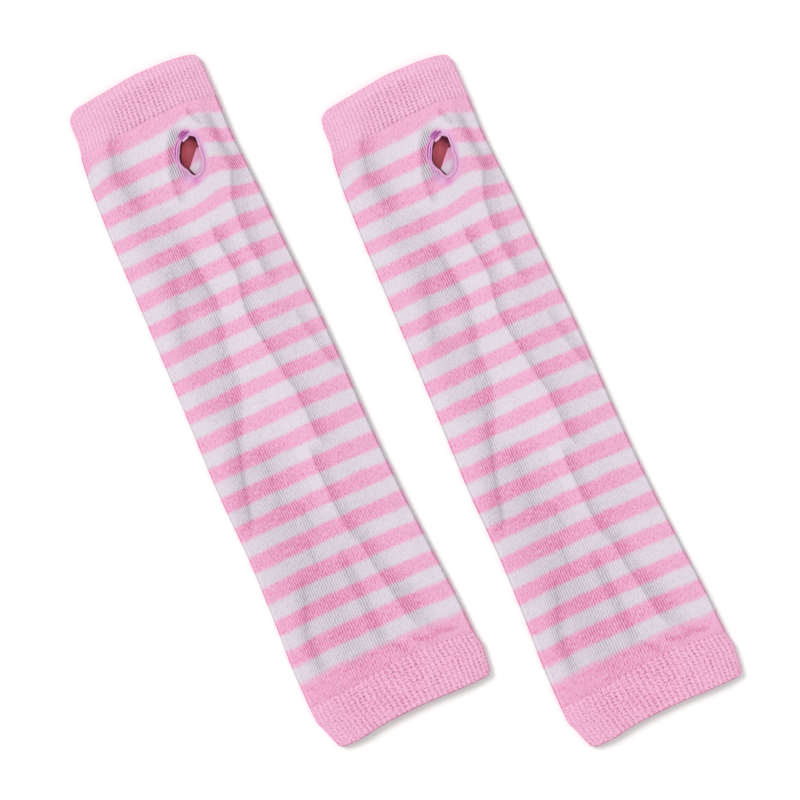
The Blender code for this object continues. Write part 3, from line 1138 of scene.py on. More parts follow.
@dataclass(frozen=True)
class ThreadFinish:
    """Plied lilac thread, deepest where the ribbon is full."""

    yarn: YarnLook = YarnLook(roughness=0.75, specular=0.3, sheen=0.25)
    lilac: Colour = (236, 184, 222)
    purple: Colour = (162, 54, 148)
    fibres: Noise = Noise(2.0, 0.6, 3.0, 3.0)
    plies: float = 0.9
    least_deep: float = 0.2
    ply_shade: float = -0.07
    fibre_shade: float = 0.9
    ply_relief: float = 0.4
    ply_depth: float = 0.0001
    bump_strength: float = 0.8

    def material(self, name: str) -> bpy.types.Material:
        """Make the thread's material.

        Args:
            name: The material's name.

        Returns:
            The material.
        """
        canvas = Canvas(name)
        run, side = canvas.pair(Layer.THREAD)
        full, shade = canvas.pair(Layer.TINT)
        ply, fibre = (run * self.plies + side).wave(), canvas.grain(self.fibres, Layer.THREAD)
        deep = shade * (full * (1 - self.least_deep) + self.least_deep)
        deep = deep + ply * self.ply_shade + fibre * self.fibre_shade
        colour = canvas.blend(deep, self.lilac, self.purple)
        height = fibre + ply * self.ply_relief
        return canvas.finish(colour, height, self.ply_depth, self.bump_strength, self.yarn)


@dataclass
class Ring:
    """The columns of a section round the tube, and the stitch count at each of them."""

    face: Array
    share: Array
    count: Array
    total: float

    @classmethod
    def of(cls, stitches: int, side_stitches: int, top: int, under: int, side: int) -> Ring:
        """Lay out the columns of a ring.

        Args:
            stitches: How many wales or ribs lie across each layer.
            side_stitches: How many lie round each side.
            top: How many columns each of them has on the upper layer.
            under: How many columns each has on the under layer.
            side: How many columns each has at the sides.

        Returns:
            The ring, from the left of the underside round to where it started.
        """
        sides = (side_stitches, side)
        plan = {Face.UNDER: (stitches, under), Face.RIGHT: sides, Face.TOP: (stitches, top), Face.LEFT: sides}
        faces, shares, counts, done = [], [], [], 0.0
        for index, face in enumerate(Face):
            number, columns = plan[face]
            share = np.arange(number * columns) / (number * columns)
            faces.append(np.full(len(share), index))
            shares.append(share)
            counts.append(done + share * number)
            done += number
        return cls(np.concatenate(faces), np.concatenate(shares), np.concatenate(counts), done)

    def on(self, face: Face) -> Array:
        """Return which columns lie on one stretch of the section."""
        return self.face == list(Face).index(face)

    def every(self, step: int) -> Ring:
        """Return the ring with only each step-th column."""
        return Ring(self.face[::step], self.share[::step], self.count[::step], self.total)


@dataclass
class Rows:
    """The rows of a piece, one entry of each array for a row.

    share runs from the piece's arm end to its hand end, reach is a step along the glove
    from there, inset is the depth in the wall, relief is how far the stitches stand, and
    sink is how far the upper layer is drawn down.
    """

    share: Array
    reach: Array
    inset: Array
    relief: Array
    sink: Array

    @classmethod
    def joined(cls, parts: Sequence[Rows]) -> Rows:
        """Return several stretches of rows as one."""
        names = ("share", "reach", "inset", "relief", "sink")
        return cls(*(np.concatenate([getattr(p, n) for p in parts]) for n in names))


@dataclass
class Grid:
    """Points in rows and columns, with the numbers that a material reads at each of them."""

    place: Array
    count: Array
    course: Array
    band: Array
    painted_shade: Array
    on_top: Array


def strips(numbers: Array, looped: bool) -> tuple[Array, Array]:
    """Return the rows at the two sides of each strip of faces, looped or not."""
    return (numbers, np.roll(numbers, -1, axis=0)) if looped else (numbers[:-1], numbers[1:])


def add_layers(mesh: bpy.types.Mesh, layers: dict[Layer, Array]) -> None:
    """Add the layers that the materials read.

    Args:
        mesh: The mesh.
        layers: The pair of numbers at each corner of its faces, for each layer.
    """
    for layer, values in layers.items():
        made = mesh.uv_layers.new(name=layer.value, do_init=False)
        made.uv.foreach_set("vector", values.astype(np.float32).reshape(-1))


def dress(mesh: bpy.types.Mesh, *materials: bpy.types.Material) -> bpy.types.Mesh:
    """Give a mesh its materials.

    Args:
        mesh: The mesh.
        materials: The material of each of its slots.

    Returns:
        The same mesh.
    """
    for material in materials:
        mesh.materials.append(material)
    return mesh


@dataclass
class MeshMaker:
    """A mesh in the making: its points, the numbers that are noted at them, and its faces."""

    places: list[Array] = field(default_factory=list)
    notes: list[Array] = field(default_factory=list)
    faces: list[tuple[int, ...]] = field(default_factory=list)
    made: int = 0

    def add_points(self, places: Array, *notes: Array | float) -> Array:
        """Add points in rows and columns.

        Args:
            places: The points.
            notes: The numbers that are noted at them.

        Returns:
            The number of each point, in the same rows and columns.
        """
        shape = places.shape[:2]
        numbers = self.made + np.arange(shape[0] * shape[1]).reshape(shape)
        self.places.append(places.reshape(-1, 3))
        spread = np.stack([np.broadcast_to(note, shape) for note in notes], axis=-1)
        self.notes.append(spread.reshape(-1, len(notes)))
        self.made += numbers.size
        return numbers

    def write(self, name: str) -> tuple[bpy.types.Mesh, Array, Array]:
        """Write the mesh, in metres.

        Args:
            name: The mesh's name.

        Returns:
            The mesh, and the place and the notes at each corner of its faces.
        """
        places, notes = np.concatenate(self.places), np.concatenate(self.notes)
        made = bpy.data.meshes.new(name)
        made.from_pydata((places * MM).tolist(), [], self.faces)
        corner = np.empty(len(made.loops), dtype=np.int64)
        made.loops.foreach_get("vertex_index", corner)
        return made, places[corner], notes[corner]


@dataclass
class KnitMesh(MeshMaker):
    """The mesh of a knitted piece."""

    thumb: ThumbHole = ThumbHole()
    counts: list[float] = field(default_factory=list)
    slots: list[int] = field(default_factory=list)

    def lay(self, grid: Grid) -> Array:
        """Add a grid's points, and return their numbers in its rows and columns."""
        return self.add_points(grid.place, grid.count, grid.course, grid.band, grid.painted_shade)

    def weave(self, numbers: Array, ring: Ring, slot: int, inward: bool = False,
              looped: bool = False, kept: Array | None = None) -> None:
        """Add the faces between a grid's rows, closed round the tube.

        Args:
            numbers: The grid's point numbers.
            ring: The ring that its columns follow.
            slot: The material slot of the faces.
            inward: Whether the faces look into the tube.
            looped: Whether the last row joins the first.
            kept: Which faces are kept, where not all of them are.
        """
        lower, upper = strips(numbers, looped)
        quads = np.stack([lower, upper, np.roll(upper, -1, axis=1), np.roll(lower, -1, axis=1)], axis=-1)
        here = np.broadcast_to(ring.count, lower.shape)
        after = np.broadcast_to(np.append(ring.count[1:], ring.total), lower.shape)
        counts = np.stack([here, here, after, after], axis=-1)
        if inward:
            quads, counts = quads[..., ::-1], counts[..., ::-1]
        chosen = np.ones(lower.shape, dtype=bool) if kept is None else kept
        quads, counts = quads[chosen], counts[chosen]
        self.faces.extend(map(tuple, quads.tolist()))
        self.counts.extend(counts.reshape(-1).tolist())
        self.slots.extend([slot] * len(quads))

    def add_faces(self, faces: Sequence[tuple[int, ...]], slot: int) -> None:
        """Add loose faces, which read each point's own stitch count.

        Args:
            faces: The point numbers of each face.
            slot: The material slot of the faces.
        """
        notes = np.concatenate(self.notes)
        for face in faces:
            self.faces.append(face)
            self.counts.extend(float(notes[number, 0]) for number in face)
            self.slots.append(slot)

    def close_rim(self, outer: Array, inner: Array, inward: bool, slot: int) -> None:
        """Close the wall's edge between a fine ring and a coarser one.

        Args:
            outer: The point numbers of the fine ring.
            inner: The point numbers of the coarser ring.
            inward: Whether the faces look towards the arm.
            slot: The material slot of the faces.
        """
        ratio = len(outer) // len(inner)
        half = ratio // 2
        faces = []
        for i, near in enumerate(inner):
            far = inner[(i + 1) % len(inner)]
            strip = [outer[(i * ratio + step) % len(outer)] for step in range(ratio + 1)]
            faces += [(near, a, b) for a, b in zip(strip[:half], strip[1:half + 1])]
            faces.append((near, strip[half], far))
            faces += [(far, a, b) for a, b in zip(strip[half:], strip[half + 1:])]
        if not inward:
            faces = [face[::-1] for face in faces]
        self.add_faces([tuple(int(n) for n in face) for face in faces], slot)

    def zip_loops(self, first: Array, second: Array, slot: int) -> None:
        """Join two loops round the thumb hole with triangles, turn by turn.

        Args:
            first: The point numbers of the outer face's loop, in order of their turns.
            second: The point numbers of the inner face's loop, in order of their turns.
            slot: The material slot of the faces.
        """
        places = np.concatenate(self.places)
        turns = [np.append(self.turns_of(places[loop])[1:], math.inf) for loop in (first, second)]
        i = j = 0
        faces = []
        while i < len(first) or j < len(second):
            next_first = turns[0][i] if i < len(first) else math.inf
            next_second = turns[1][j] if j < len(second) else math.inf
            a, b = int(first[i % len(first)]), int(second[j % len(second)])
            if i < len(first) and (next_first <= next_second or j >= len(second)):
                i += 1
                faces.append((a, int(first[i % len(first)]), b))
            else:
                j += 1
                faces.append((a, int(second[j % len(second)]), b))
        self.add_faces(faces, slot)

    def turns_of(self, places: Array) -> Array:
        """Return the direction of each place from the middle of the thumb hole."""
        return self.thumb.turn_to(places[:, 0], places[:, 1])

    def mesh(self, name: str) -> bpy.types.Mesh:
        """Write the mesh, with a pair of numbers in each of its three layers.

        Args:
            name: The mesh's name.

        Returns:
            The mesh: layer STITCH holds the wale and the course, DYE the stripe count and
            the painted shade, and PLACE the millimetres from the thumb hole's middle.
        """
        made, places, notes = self.write(name)
        middle = np.array([self.thumb.across, self.thumb.along])
        add_layers(made, {
            Layer.STITCH: np.stack([np.array(self.counts), notes[:, 1]], axis=1),
            Layer.DYE: notes[:, 2:4],
            Layer.PLACE: places[:, :2] - middle,
        })
        made.polygons.foreach_set("material_index", self.slots)
        made.shade_smooth()
        made.set_sharp_from_angle(angle=SHARP)
        made.update()
        return made


def stitch_profile(count: Array) -> Array:
    """Return the rounded crest of each wale or rib: 0 between two of them and 1 on one."""
    return np.abs(np.sin(math.pi * count))


@dataclass(frozen=True)
class GloveForm:
    """The form that all of a glove's pieces follow."""

    cloth: Cloth = Cloth()
    outline: Outline = Outline()
    thumb: ThumbHole = ThumbHole()
    stripes: StripePlan = StripePlan()
    back_step: float = 4.4

    @property
    def relief(self) -> Relief:
        """Return the form of the upper layer."""
        return Relief(self.cloth, self.thumb)

    def top_height(self, x: Array, y: Array) -> Array:
        """Return the height of the upper layer's outer face, where no stitch stands on it."""
        left, right = self.outline.left().at(y), self.outline.right().at(y)
        return 2 * self.cloth.side_radius + self.relief.loft(x, y, left, right)

    def grid(self, low: SmoothLine, high: SmoothLine, rows: Rows, ring: Ring, course_pitch: float,
             evenness: Array | float = 1.0, first_course: float = 0.0) -> Grid:
        """Place rows of points round the tube between two lines that cross it.

        Args:
            low: The line at the arm end of the rows.
            high: The line at their hand end.
            rows: The rows.
            ring: The columns round the tube.
            course_pitch: The height of a course, in millimetres.
            evenness: The share of their height that the stitches keep in each column.
            first_course: The place along the glove where the courses are counted from.

        Returns:
            The points and what the materials read there.
        """
        cloth, radius = self.cloth, self.cloth.side_radius
        share, reach, inset = rows.share[:, None], rows.reach[:, None], rows.inset[:, None]
        standing, sink = rows.relief[:, None], rows.sink[:, None]
        middle = mix(low.at(0.0), high.at(0.0), share)
        left, right = self.outline.left().at(middle), self.outline.right().at(middle)
        first, last = left + radius, right - radius
        across = ring.share - cloth.edge_crowding * np.sin(math.tau * ring.share)
        under, top, on_right = ring.on(Face.UNDER), ring.on(Face.TOP), ring.on(Face.RIGHT)
        crest = stitch_profile(ring.count)
        stand = standing * crest * evenness
        outward = 1 - 2 * inset / cloth.wall
        turn = np.where(on_right, ring.share - 0.5, ring.share + 0.5) * math.pi
        out = radius - inset + stand * outward * (0.5 + 0.5 * np.sin(turn))
        x = np.where(on_right, last, first) + out * np.cos(turn)
        z = radius + out * np.sin(turn)
        x = np.where(under, mix(first, last, across), x)
        x = np.where(top, mix(last, first, across), x)
        y = mix(low.at(x), high.at(x), share) + reach
        z = np.where(under, inset + 0.5 * standing * (1 - crest) * np.maximum(outward, 0.0), z)
        near = self.thumb.outside(x, y) - self.thumb.cloth_margin
        stand = stand * np.clip(near / self.thumb.calm, 0.0, 1.0)
        upper = 2 * radius - inset + self.relief.loft(x, y, left, right) + stand * outward - sink
        z = np.where(top, upper, z)
        # Painted shade along the sides, deepest where they turn down towards the floor, and on the upper
        # layer the painted shade along the folds.
        at_side = cloth.edge_shade * (1 - np.abs(np.sin(turn)) ** cloth.edge_falloff)
        painted_shade = np.where(top, self.relief.painted_shade(x, y), np.where(under, 0.0, at_side))
        behind = np.where(under, np.sin(math.pi * across), 0.0)
        course = (middle + reach - first_course) / course_pitch
        band = self.stripes.dyed(x, y + self.back_step * behind, 1 - behind)
        x, y, z, *notes = np.broadcast_arrays(x, y, z, ring.count, course, band, painted_shade, top)
        return Grid(np.stack([x, y, z], axis=-1), *notes)

    def open_thumb_hole(self, grid: Grid, inset: float) -> tuple[Array, Array]:
        """Open the thumb hole in a grid, and draw the points at its edge onto its line.

        Args:
            grid: The grid, whose points are moved.
            inset: The depth of the grid in the wall.

        Returns:
            Which faces are kept, and which points lie on the hole's line.
        """
        x, y = grid.place[..., 0], grid.place[..., 1]
        margin = self.thumb.cloth_margin
        inside = grid.on_top & (self.thumb.outside(x, y) < margin)
        wide = inside & np.roll(inside, -1, axis=1)
        kept = ~(wide[:-1] & wide[1:])
        beside = kept | np.roll(kept, 1, axis=1)
        used = np.zeros(inside.shape, dtype=bool)
        used[:-1] |= beside
        used[1:] |= beside
        on_line = inside & used
        new_x, new_y = self.thumb.point(self.thumb.turn_to(x[on_line], y[on_line]), margin)
        new_z = self.top_height(new_x, new_y) - inset
        grid.place[on_line] = np.stack([new_x, new_y, new_z], axis=1)
        return kept, on_line

    def seam_sink(self, from_seam: Array) -> Array:
        """Return how far the upper layer is drawn down at distances from a seam."""
        return self.cloth.seam_dip * bump(from_seam, self.cloth.seam_reach)


@dataclass(frozen=True)
class JerseyTube:
    """The striped jersey tube: a fine outer face, and a coarser one inside it."""

    form: GloveForm
    finish: JerseyFinish = JerseyFinish()
    span: tuple[float, float] = (-132.0, 142.0)
    wales: int = 68
    side_wales: int = 4
    rows: int = 222
    columns_per_wale: int = 4
    columns_per_under_wale: int = 1
    columns_per_side_wale: int = 3
    inner_step: int = 4
    inner_rows: int = 74
    wale_height: float = 0.07
    course_pitch: float = 0.9

    def lines(self) -> tuple[SmoothLine, SmoothLine]:
        """Return the lines where the tube meets the arm cuff and the hand cuff."""
        outline = self.form.outline
        return SmoothLine.across(outline.arm_seam), SmoothLine.across(outline.hand_seam)

    def ring(self) -> Ring:
        """Return the columns round the tube."""
        columns = (self.columns_per_wale, self.columns_per_under_wale, self.columns_per_side_wale)
        return Ring.of(self.wales, self.side_wales, *columns)

    def stretch(self, count: int, inset: float, relief: float) -> Rows:
        """Lay out the rows of one face of the wall, drawn down a little at both seams.

        Args:
            count: How many rows of faces there are.
            inset: The face's depth in the wall.
            relief: How far its wales stand.

        Returns:
            The rows.
        """
        low, high = self.lines()
        share = np.linspace(0.0, 1.0, count + 1)
        from_seam = np.minimum(share, 1 - share) * float(high.at(0.0) - low.at(0.0))
        same = np.ones(count + 1)
        return Rows(share, 0 * same, inset * same, relief * same, self.form.seam_sink(from_seam))

    def mesh(self, name: str) -> bpy.types.Mesh:
        """Make the tube's mesh, with its thumb hole.

        Args:
            name: The mesh's name.

        Returns:
            The closed mesh, whose second material slot is the inside.
        """
        form, ring = self.form, self.ring()
        knit = KnitMesh(thumb=form.thumb)
        layers = (
            (self.rows, ring, 0.0, self.wale_height),
            (self.inner_rows, ring.every(self.inner_step), form.cloth.wall, 0.0),
        )
        laid, loops = [], []
        for slot, (count, columns, inset, relief) in enumerate(layers):
            grid = form.grid(*self.lines(), self.stretch(count, inset, relief), columns, self.course_pitch)
            kept, line = form.open_thumb_hole(grid, inset)
            numbers = knit.lay(grid)
            knit.weave(numbers, columns, slot, inward=slot == 1, kept=kept)
            laid.append(numbers)
            loops.append(numbers[line][np.argsort(knit.turns_of(grid.place[line]))])
        knit.close_rim(laid[0][0], laid[1][0], True, 0)
        knit.close_rim(laid[0][-1], laid[1][-1], False, 0)
        knit.zip_loops(loops[0], loops[1], 0)
        return knit.mesh(name)

    def dressed(self) -> bpy.types.Mesh:
        """Return the tube's mesh with its two materials, for the outside and the inside."""
        looks = self.finish.outside("striped_jersey"), self.finish.inside("striped_jersey_inside")
        return dress(self.mesh("jersey"), *looks)


@dataclass(frozen=True)
class RibCuff:
    """A ribbed cuff: both faces of its wall, and the soft lip round its rim."""

    form: GloveForm
    finish: RibFinish
    at_hand: bool
    span: tuple[float, float]
    course_pitch: float
    seam_step: float
    rib_height: float
    rim_relief: float
    seam_relief: float
    weakest: float
    fades_from: float
    fades_to: float
    fewest_rungs: float
    welt: float
    lip_shade: float
    ribs: int = 32
    side_ribs: int = 2
    columns_per_rib: int = 8
    columns_per_under_rib: int = 4
    columns_per_side_rib: int = 6
    outer_rows: int = 26
    inner_rows: int = 12
    lip_rows: int = 6
    full_from: float = 0.12
    rungs_from: float = 0.15
    rungs_full: float = 0.42
    welt_step: float = 0.06

    def lines(self) -> tuple[SmoothLine, SmoothLine]:
        """Find the lines that the cuff lies between.

        Returns:
            The line at its arm end and the line at its hand end.
        """
        outline = self.form.outline
        ends = (outline.hand_seam, outline.hand_rim) if self.at_hand else (outline.arm_rim, outline.arm_seam)
        return SmoothLine.across(ends[0]), SmoothLine.across(ends[1])

    def ring(self) -> Ring:
        """Return the columns round the cuff."""
        columns = (self.columns_per_rib, self.columns_per_under_rib, self.columns_per_side_rib)
        return Ring.of(self.ribs, self.side_ribs, *columns)

    def stretch(self, from_seam: Array, turn: Array) -> Rows:
        """Lay out rows of the cuff.

        Args:
            from_seam: How far each row is from the seam, from 0 to 1 at the rim.
            turn: How far each has turned round the lip, from 0, outside, to pi, inside.

        Returns:
            The rows.
        """
        lip = self.form.cloth.wall / 2
        ends = (0.0, self.full_from, 1 - self.welt - self.welt_step, 1 - self.welt)
        levels = (self.seam_relief, 1.0, 1.0, self.rim_relief)
        towards = 1.0 if self.at_hand else -1.0
        low, high = self.lines()
        return Rows(
            share=from_seam if self.at_hand else 1 - from_seam,
            reach=towards * lip * (np.sin(turn) - from_seam),
            inset=lip * (1 - np.cos(turn)),
            relief=self.rib_height * np.interp(from_seam, ends, levels),
            sink=self.form.seam_sink(from_seam * float(high.at(0.0) - low.at(0.0))),
        )

    def evenness(self, ring: Ring) -> Array:
        """Work out the share of their height that the ribs keep: the least at the left.

        Args:
            ring: The columns round the cuff.

        Returns:
            The share in each column.
        """
        faded = mix(1.0, self.weakest, smooth_step(ring.share, self.fades_from, self.fades_to))
        return np.where(ring.on(Face.TOP), faded, np.where(ring.on(Face.LEFT), self.weakest, 1.0))

    def rungs(self, ring: Ring) -> Array:
        """Work out how strong the ladder of courses is: the least at the right.

        Args:
            ring: The columns round the cuff.

        Returns:
            The strength in each column.
        """
        grown = mix(self.fewest_rungs, 1.0, smooth_step(ring.share, self.rungs_from, self.rungs_full))
        return np.where(ring.on(Face.TOP), grown, np.where(ring.on(Face.RIGHT), self.fewest_rungs, 1.0))

    def rows(self) -> Rows:
        """Lay out all the rows: outside, round the lip, inside, and back at the start.

        Returns:
            The rows.
        """
        out = np.linspace(0.0, 1.0, self.outer_rows + 1)
        back = np.linspace(1.0, 0.0, self.inner_rows + 1)
        turn = np.linspace(0.0, math.pi, self.lip_rows + 2)[1:-1]
        lip = self.stretch(np.ones(len(turn)), turn)
        return Rows.joined((self.stretch(out, 0 * out), lip, self.stretch(back, math.pi + 0 * back)))

    def mesh(self, name: str) -> bpy.types.Mesh:
        """Make the cuff's mesh.

        Args:
            name: The mesh's name.

        Returns:
            The closed mesh.
        """
        form, (low, high), ring = self.form, self.lines(), self.ring()
        rows, evenness = self.rows(), self.evenness(ring)
        seam = float((low if self.at_hand else high).at(0.0))
        grid = form.grid(low, high, rows, ring, self.course_pitch, evenness, seam + self.seam_step)
        grid.band = (rows.relief / self.rib_height)[:, None] * evenness * self.rungs(ring)
        # Painted shade round the lip of the rim, deepest at its outermost point.
        depth = rows.inset / form.cloth.wall
        at_lip = self.lip_shade * 4 * depth * (1 - depth)
        grid.painted_shade = np.maximum(grid.painted_shade, at_lip[:, None])
        knit = KnitMesh(thumb=form.thumb)
        knit.weave(knit.lay(grid), ring, 0, inward=not self.at_hand, looped=True)
        return knit.mesh(name)

    def dressed(self, name: str) -> bpy.types.Mesh:
        """Return the cuff's mesh with its material."""
        return dress(self.mesh(name), self.finish.material(name))


class Strand(NamedTuple):
    """One strand of the thread laid all round the thumb hole.

    across is its place in the ribbon, from 0 at the hole to 1, wander how far it strays from
    there, thickness a factor of its radius, and shade how deep its colour is.
    """

    across: float
    wander: float
    thickness: float
    shade: float


class LooseEnd(NamedTuple):
    """A loose strand above the hole: its path, its radius and how high it rises.

    full is how full the ribbon counts as there, and shade how deep its colour is.
    """

    path: tuple[Mark, ...]
    radius: float
    rise: float
    full: float
    shade: float


class Sway(NamedTuple):
    """A wave round the hole, which is turned on a little from each strand to the next."""

    turns: int
    phase: float
    size: float

    def at(self, turn: Array, index: int) -> Array:
        """Return how far it moves a strand in each direction from the hole's middle."""
        return self.size * np.sin(self.turns * turn + self.phase * index)


class ThreadMesh(MeshMaker):
    """The mesh of the thread."""

    def sweep(self, line: Array, radius: Array, sides: int, aside: Array, looped: bool,
              tint: tuple[Array | float, float]) -> None:
        """Sweep a round section along a line.

        Args:
            line: The line's points.
            radius: The section's radius at each of them.
            sides: How many sides it has.
            aside: A direction that is never along the line.
            looped: Whether the line ends where it starts.
            tint: How full the ribbon is at each point, and how deep the strand's colour is.
        """
        ahead = np.roll(line, -1, axis=0) - np.roll(line, 1, axis=0)
        if not looped:
            ahead[0], ahead[-1] = line[1] - line[0], line[-1] - line[-2]
        ahead /= np.linalg.norm(ahead, axis=1, keepdims=True)
        beside = np.cross(ahead, aside)
        beside /= np.linalg.norm(beside, axis=1, keepdims=True)
        above = np.cross(beside, ahead)
        turn = np.arange(sides) / sides
        angle = math.tau * turn
        spokes = np.cos(angle)[:, None] * beside[:, None] + np.sin(angle)[:, None] * above[:, None]
        steps = np.linalg.norm(np.diff(line, axis=0), axis=1)
        run = np.concatenate([[0.0], np.cumsum(steps)])
        points = line[:, None] + radius[:, None, None] * spokes
        numbers = self.add_points(points, run[:, None], turn, np.reshape(tint[0], (-1, 1)), tint[1])
        lower, upper = strips(numbers, looped)
        quads = np.stack([lower, np.roll(lower, -1, axis=1), np.roll(upper, -1, axis=1), upper], axis=-1)
        self.faces.extend(map(tuple, quads.reshape(-1, 4).tolist()))
        if not looped:
            self.faces += [tuple(numbers[0, ::-1].tolist()), tuple(numbers[-1].tolist())]

    def mesh(self, name: str) -> bpy.types.Mesh:
        """Write the mesh, with a pair of numbers in each of its two layers.

        Args:
            name: The mesh's name.

        Returns:
            The mesh: layer THREAD holds the millimetres along a strand and the turn round
            it, and TINT how full the ribbon is and how deep the strand's colour is.
        """
        made, _, notes = self.write(name)
        add_layers(made, {Layer.THREAD: notes[:, 0:2], Layer.TINT: notes[:, 2:4]})
        made.shade_smooth()
        made.update()
        return made


@dataclass(frozen=True)
class ThumbStitching:
    """The lilac thread sewn round the thumb hole: a flat ribbon of strands, and its stitches."""

    form: GloveForm
    finish: ThreadFinish = ThreadFinish()
    strands: tuple[Strand, ...] = (
        Strand(0.02, 0.02, 1.0, 0.10),
        Strand(0.25, 0.04, 1.1, 0.85),
        Strand(0.50, 0.05, 1.0, 0.05),
        Strand(0.74, 0.05, 1.1, 1.00),
        Strand(0.98, 0.05, 0.9, 0.20),
    )
    strays: tuple[Sway, Sway] = (Sway(3, 2.1, 1.0), Sway(8, 1.3, 0.6))
    lifts: Sway = Sway(5, 1.7, 0.06)
    loose: tuple[LooseEnd, ...] = (
        LooseEnd(trail(6.0, 129.6, 7.2, 130.5, 8.6, 131.1, 9.9, 131.4), 0.36, 0.45, 1.0, 1.0),
        LooseEnd(trail(5.6, 128.7, 7.4, 129.9, 9.4, 130.5, 11.8, 130.8), 0.36, 0.45, 1.0, 0.7),
        LooseEnd(trail(5.9, 127.9, 7.6, 129.1, 9.4, 129.7, 11.6, 129.9), 0.36, 0.45, 1.0, 1.0),
        LooseEnd(trail(6.4, 127.6, 7.8, 128.6, 9.2, 129.0, 10.8, 129.2), 0.36, 0.45, 1.0, 0.7),
        LooseEnd(trail(7.3, 127.1, 8.7, 127.6, 10.3, 128.1), 0.62, 0.6, 0.0, 0.0),
    )
    loose_samples: int = 24
    loose_arch: float = 0.6
    loose_sink: float = 0.12
    loose_thin: float = 0.55
    samples: int = 240
    sides: int = 8
    bed_sides: int = 12
    inner: float = 0.1
    narrow: float = 1.0
    wide: float = 2.4
    rise: float = 0.05
    crown: float = 0.16
    thin: float = 0.15
    thick: float = 0.32
    bed_depth: float = 0.72
    bed_level: float = -0.66
    bed_shade: float = 0.55
    full_turn: float = math.radians(136)
    full_reach: float = math.radians(46)
    stitches: int = 60
    stitch_samples: int = 9
    stitch_sides: int = 5
    stitch_radius: float = 0.1
    stitch_slant: float = 0.12
    stitch_start: float = -0.04
    stitch_overhang: float = 0.45
    stitch_lift: float = 0.16
    start_drop: float = 0.5
    start_reach: float = 0.1
    end_drop: float = 0.25
    end_reach: float = 0.08
    placed_between: tuple[float, float] = (-0.3, 0.3)
    slanted_between: tuple[float, float] = (-0.4, 1.4)
    thick_between: tuple[float, float] = (0.8, 1.2)
    shaded_between: tuple[float, float] = (0.0, 0.5)
    seed: int = 7

    def fullness(self, turn: Array | float) -> Array:
        """Return how full the ribbon is in each direction: 1 at the upper left."""
        away = (np.asarray(turn) - self.full_turn + math.pi) % math.tau - math.pi
        return bump(away, self.full_reach)

    def width(self, turn: Array) -> Array:
        """Return the ribbon's width in each direction."""
        return mix(self.narrow, self.wide, self.fullness(turn))

    def ribbon(self, turn: Array, across: Array | float, rise: Array | float) -> Array:
        """Find places on the ribbon.

        Args:
            turn: The direction from the hole's middle.
            across: The place across the ribbon, from 0 at the hole to 1.
            rise: The height above the cloth's outer face.

        Returns:
            The points.
        """
        x, y = self.form.thumb.point(turn, self.inner + self.width(turn) * across)
        arch = 1 - (2 * np.clip(across, 0.0, 1.0) - 1) ** 2
        return np.stack([x, y, self.form.top_height(x, y) + self.crown * arch + rise], axis=-1)

    def lay_bed(self, thread: ThreadMesh, turn: Array) -> None:
        """Lay the cord that lines the cut edge under the strands.

        Args:
            thread: The thread in the making.
            turn: The directions of its points from the hole's middle.
        """
        width, line = self.width(turn), self.ribbon(turn, 0.5, self.bed_level)
        thread.sweep(line, width / 2, self.bed_sides, UP, True, (self.fullness(turn), self.bed_shade))
        points = thread.places[-1].reshape(len(turn), self.bed_sides, 3)
        points[..., 2] = mix(line[:, None, 2], points[..., 2], (2 * self.bed_depth / width)[:, None])
        thread.places[-1] = points.reshape(-1, 3)

    def lay_strands(self, thread: ThreadMesh, turn: Array) -> None:
        """Lay the strands that run all round the hole.

        Args:
            thread: The thread in the making.
            turn: The directions of their points from the hole's middle.
        """
        full = self.fullness(turn)
        for index, strand in enumerate(self.strands):
            stray = strand.wander * sum(sway.at(turn, index) for sway in self.strays)
            line = self.ribbon(turn, strand.across + stray, self.rise + self.lifts.at(turn, index))
            radius = strand.thickness * mix(self.thin, self.thick, full)
            thread.sweep(line, radius, self.sides, UP, True, (full, strand.shade))

    def lay_loose(self, thread: ThreadMesh) -> None:
        """Lay the strands that fan out above the hole, and the pale end at its top.

        Args:
            thread: The thread in the making.
        """
        share = np.linspace(0.0, 1.0, self.loose_samples)
        arch = np.sin(math.pi * share) ** self.loose_arch
        for end in self.loose:
            knots = tuple(np.linspace(0.0, 1.0, len(end.path)))
            x, y = (SmoothLine(knots, values).at(share) for values in zip(*end.path))
            rise = end.rise * arch - self.loose_sink
            line = np.stack([x, y, self.form.top_height(x, y) + rise], axis=-1)
            radius = end.radius * mix(self.loose_thin, 1.0, arch)
            thread.sweep(line, radius, self.sides, UP, False, (end.full, end.shade))

    def lay_stitches(self, thread: ThreadMesh) -> None:
        """Lay the small stitches that cross the ribbon.

        Args:
            thread: The thread in the making.
        """
        random = np.random.default_rng(self.seed)
        share = np.linspace(0.0, 1.0, self.stitch_samples)
        at_start, at_end = bump(share, self.start_reach), bump(share - 1.0, self.end_reach)
        rise = self.rise + self.stitch_lift - self.start_drop * at_start - self.end_drop * at_end
        for index in range(self.stitches):
            start = math.tau * (index + random.uniform(*self.placed_between)) / self.stitches
            turn = start + self.stitch_slant * random.uniform(*self.slanted_between) * (share - 0.5)
            across = mix(self.stitch_start, 1.0 + self.stitch_overhang / self.width(turn), share)
            line = self.ribbon(turn, across, rise)
            radius = np.full(len(share), self.stitch_radius * random.uniform(*self.thick_between))
            tint = (float(self.fullness(start)), float(random.uniform(*self.shaded_between)))
            side = np.array([-math.sin(start), math.cos(start), 0.0])
            thread.sweep(line, radius, self.stitch_sides, side, False, tint)

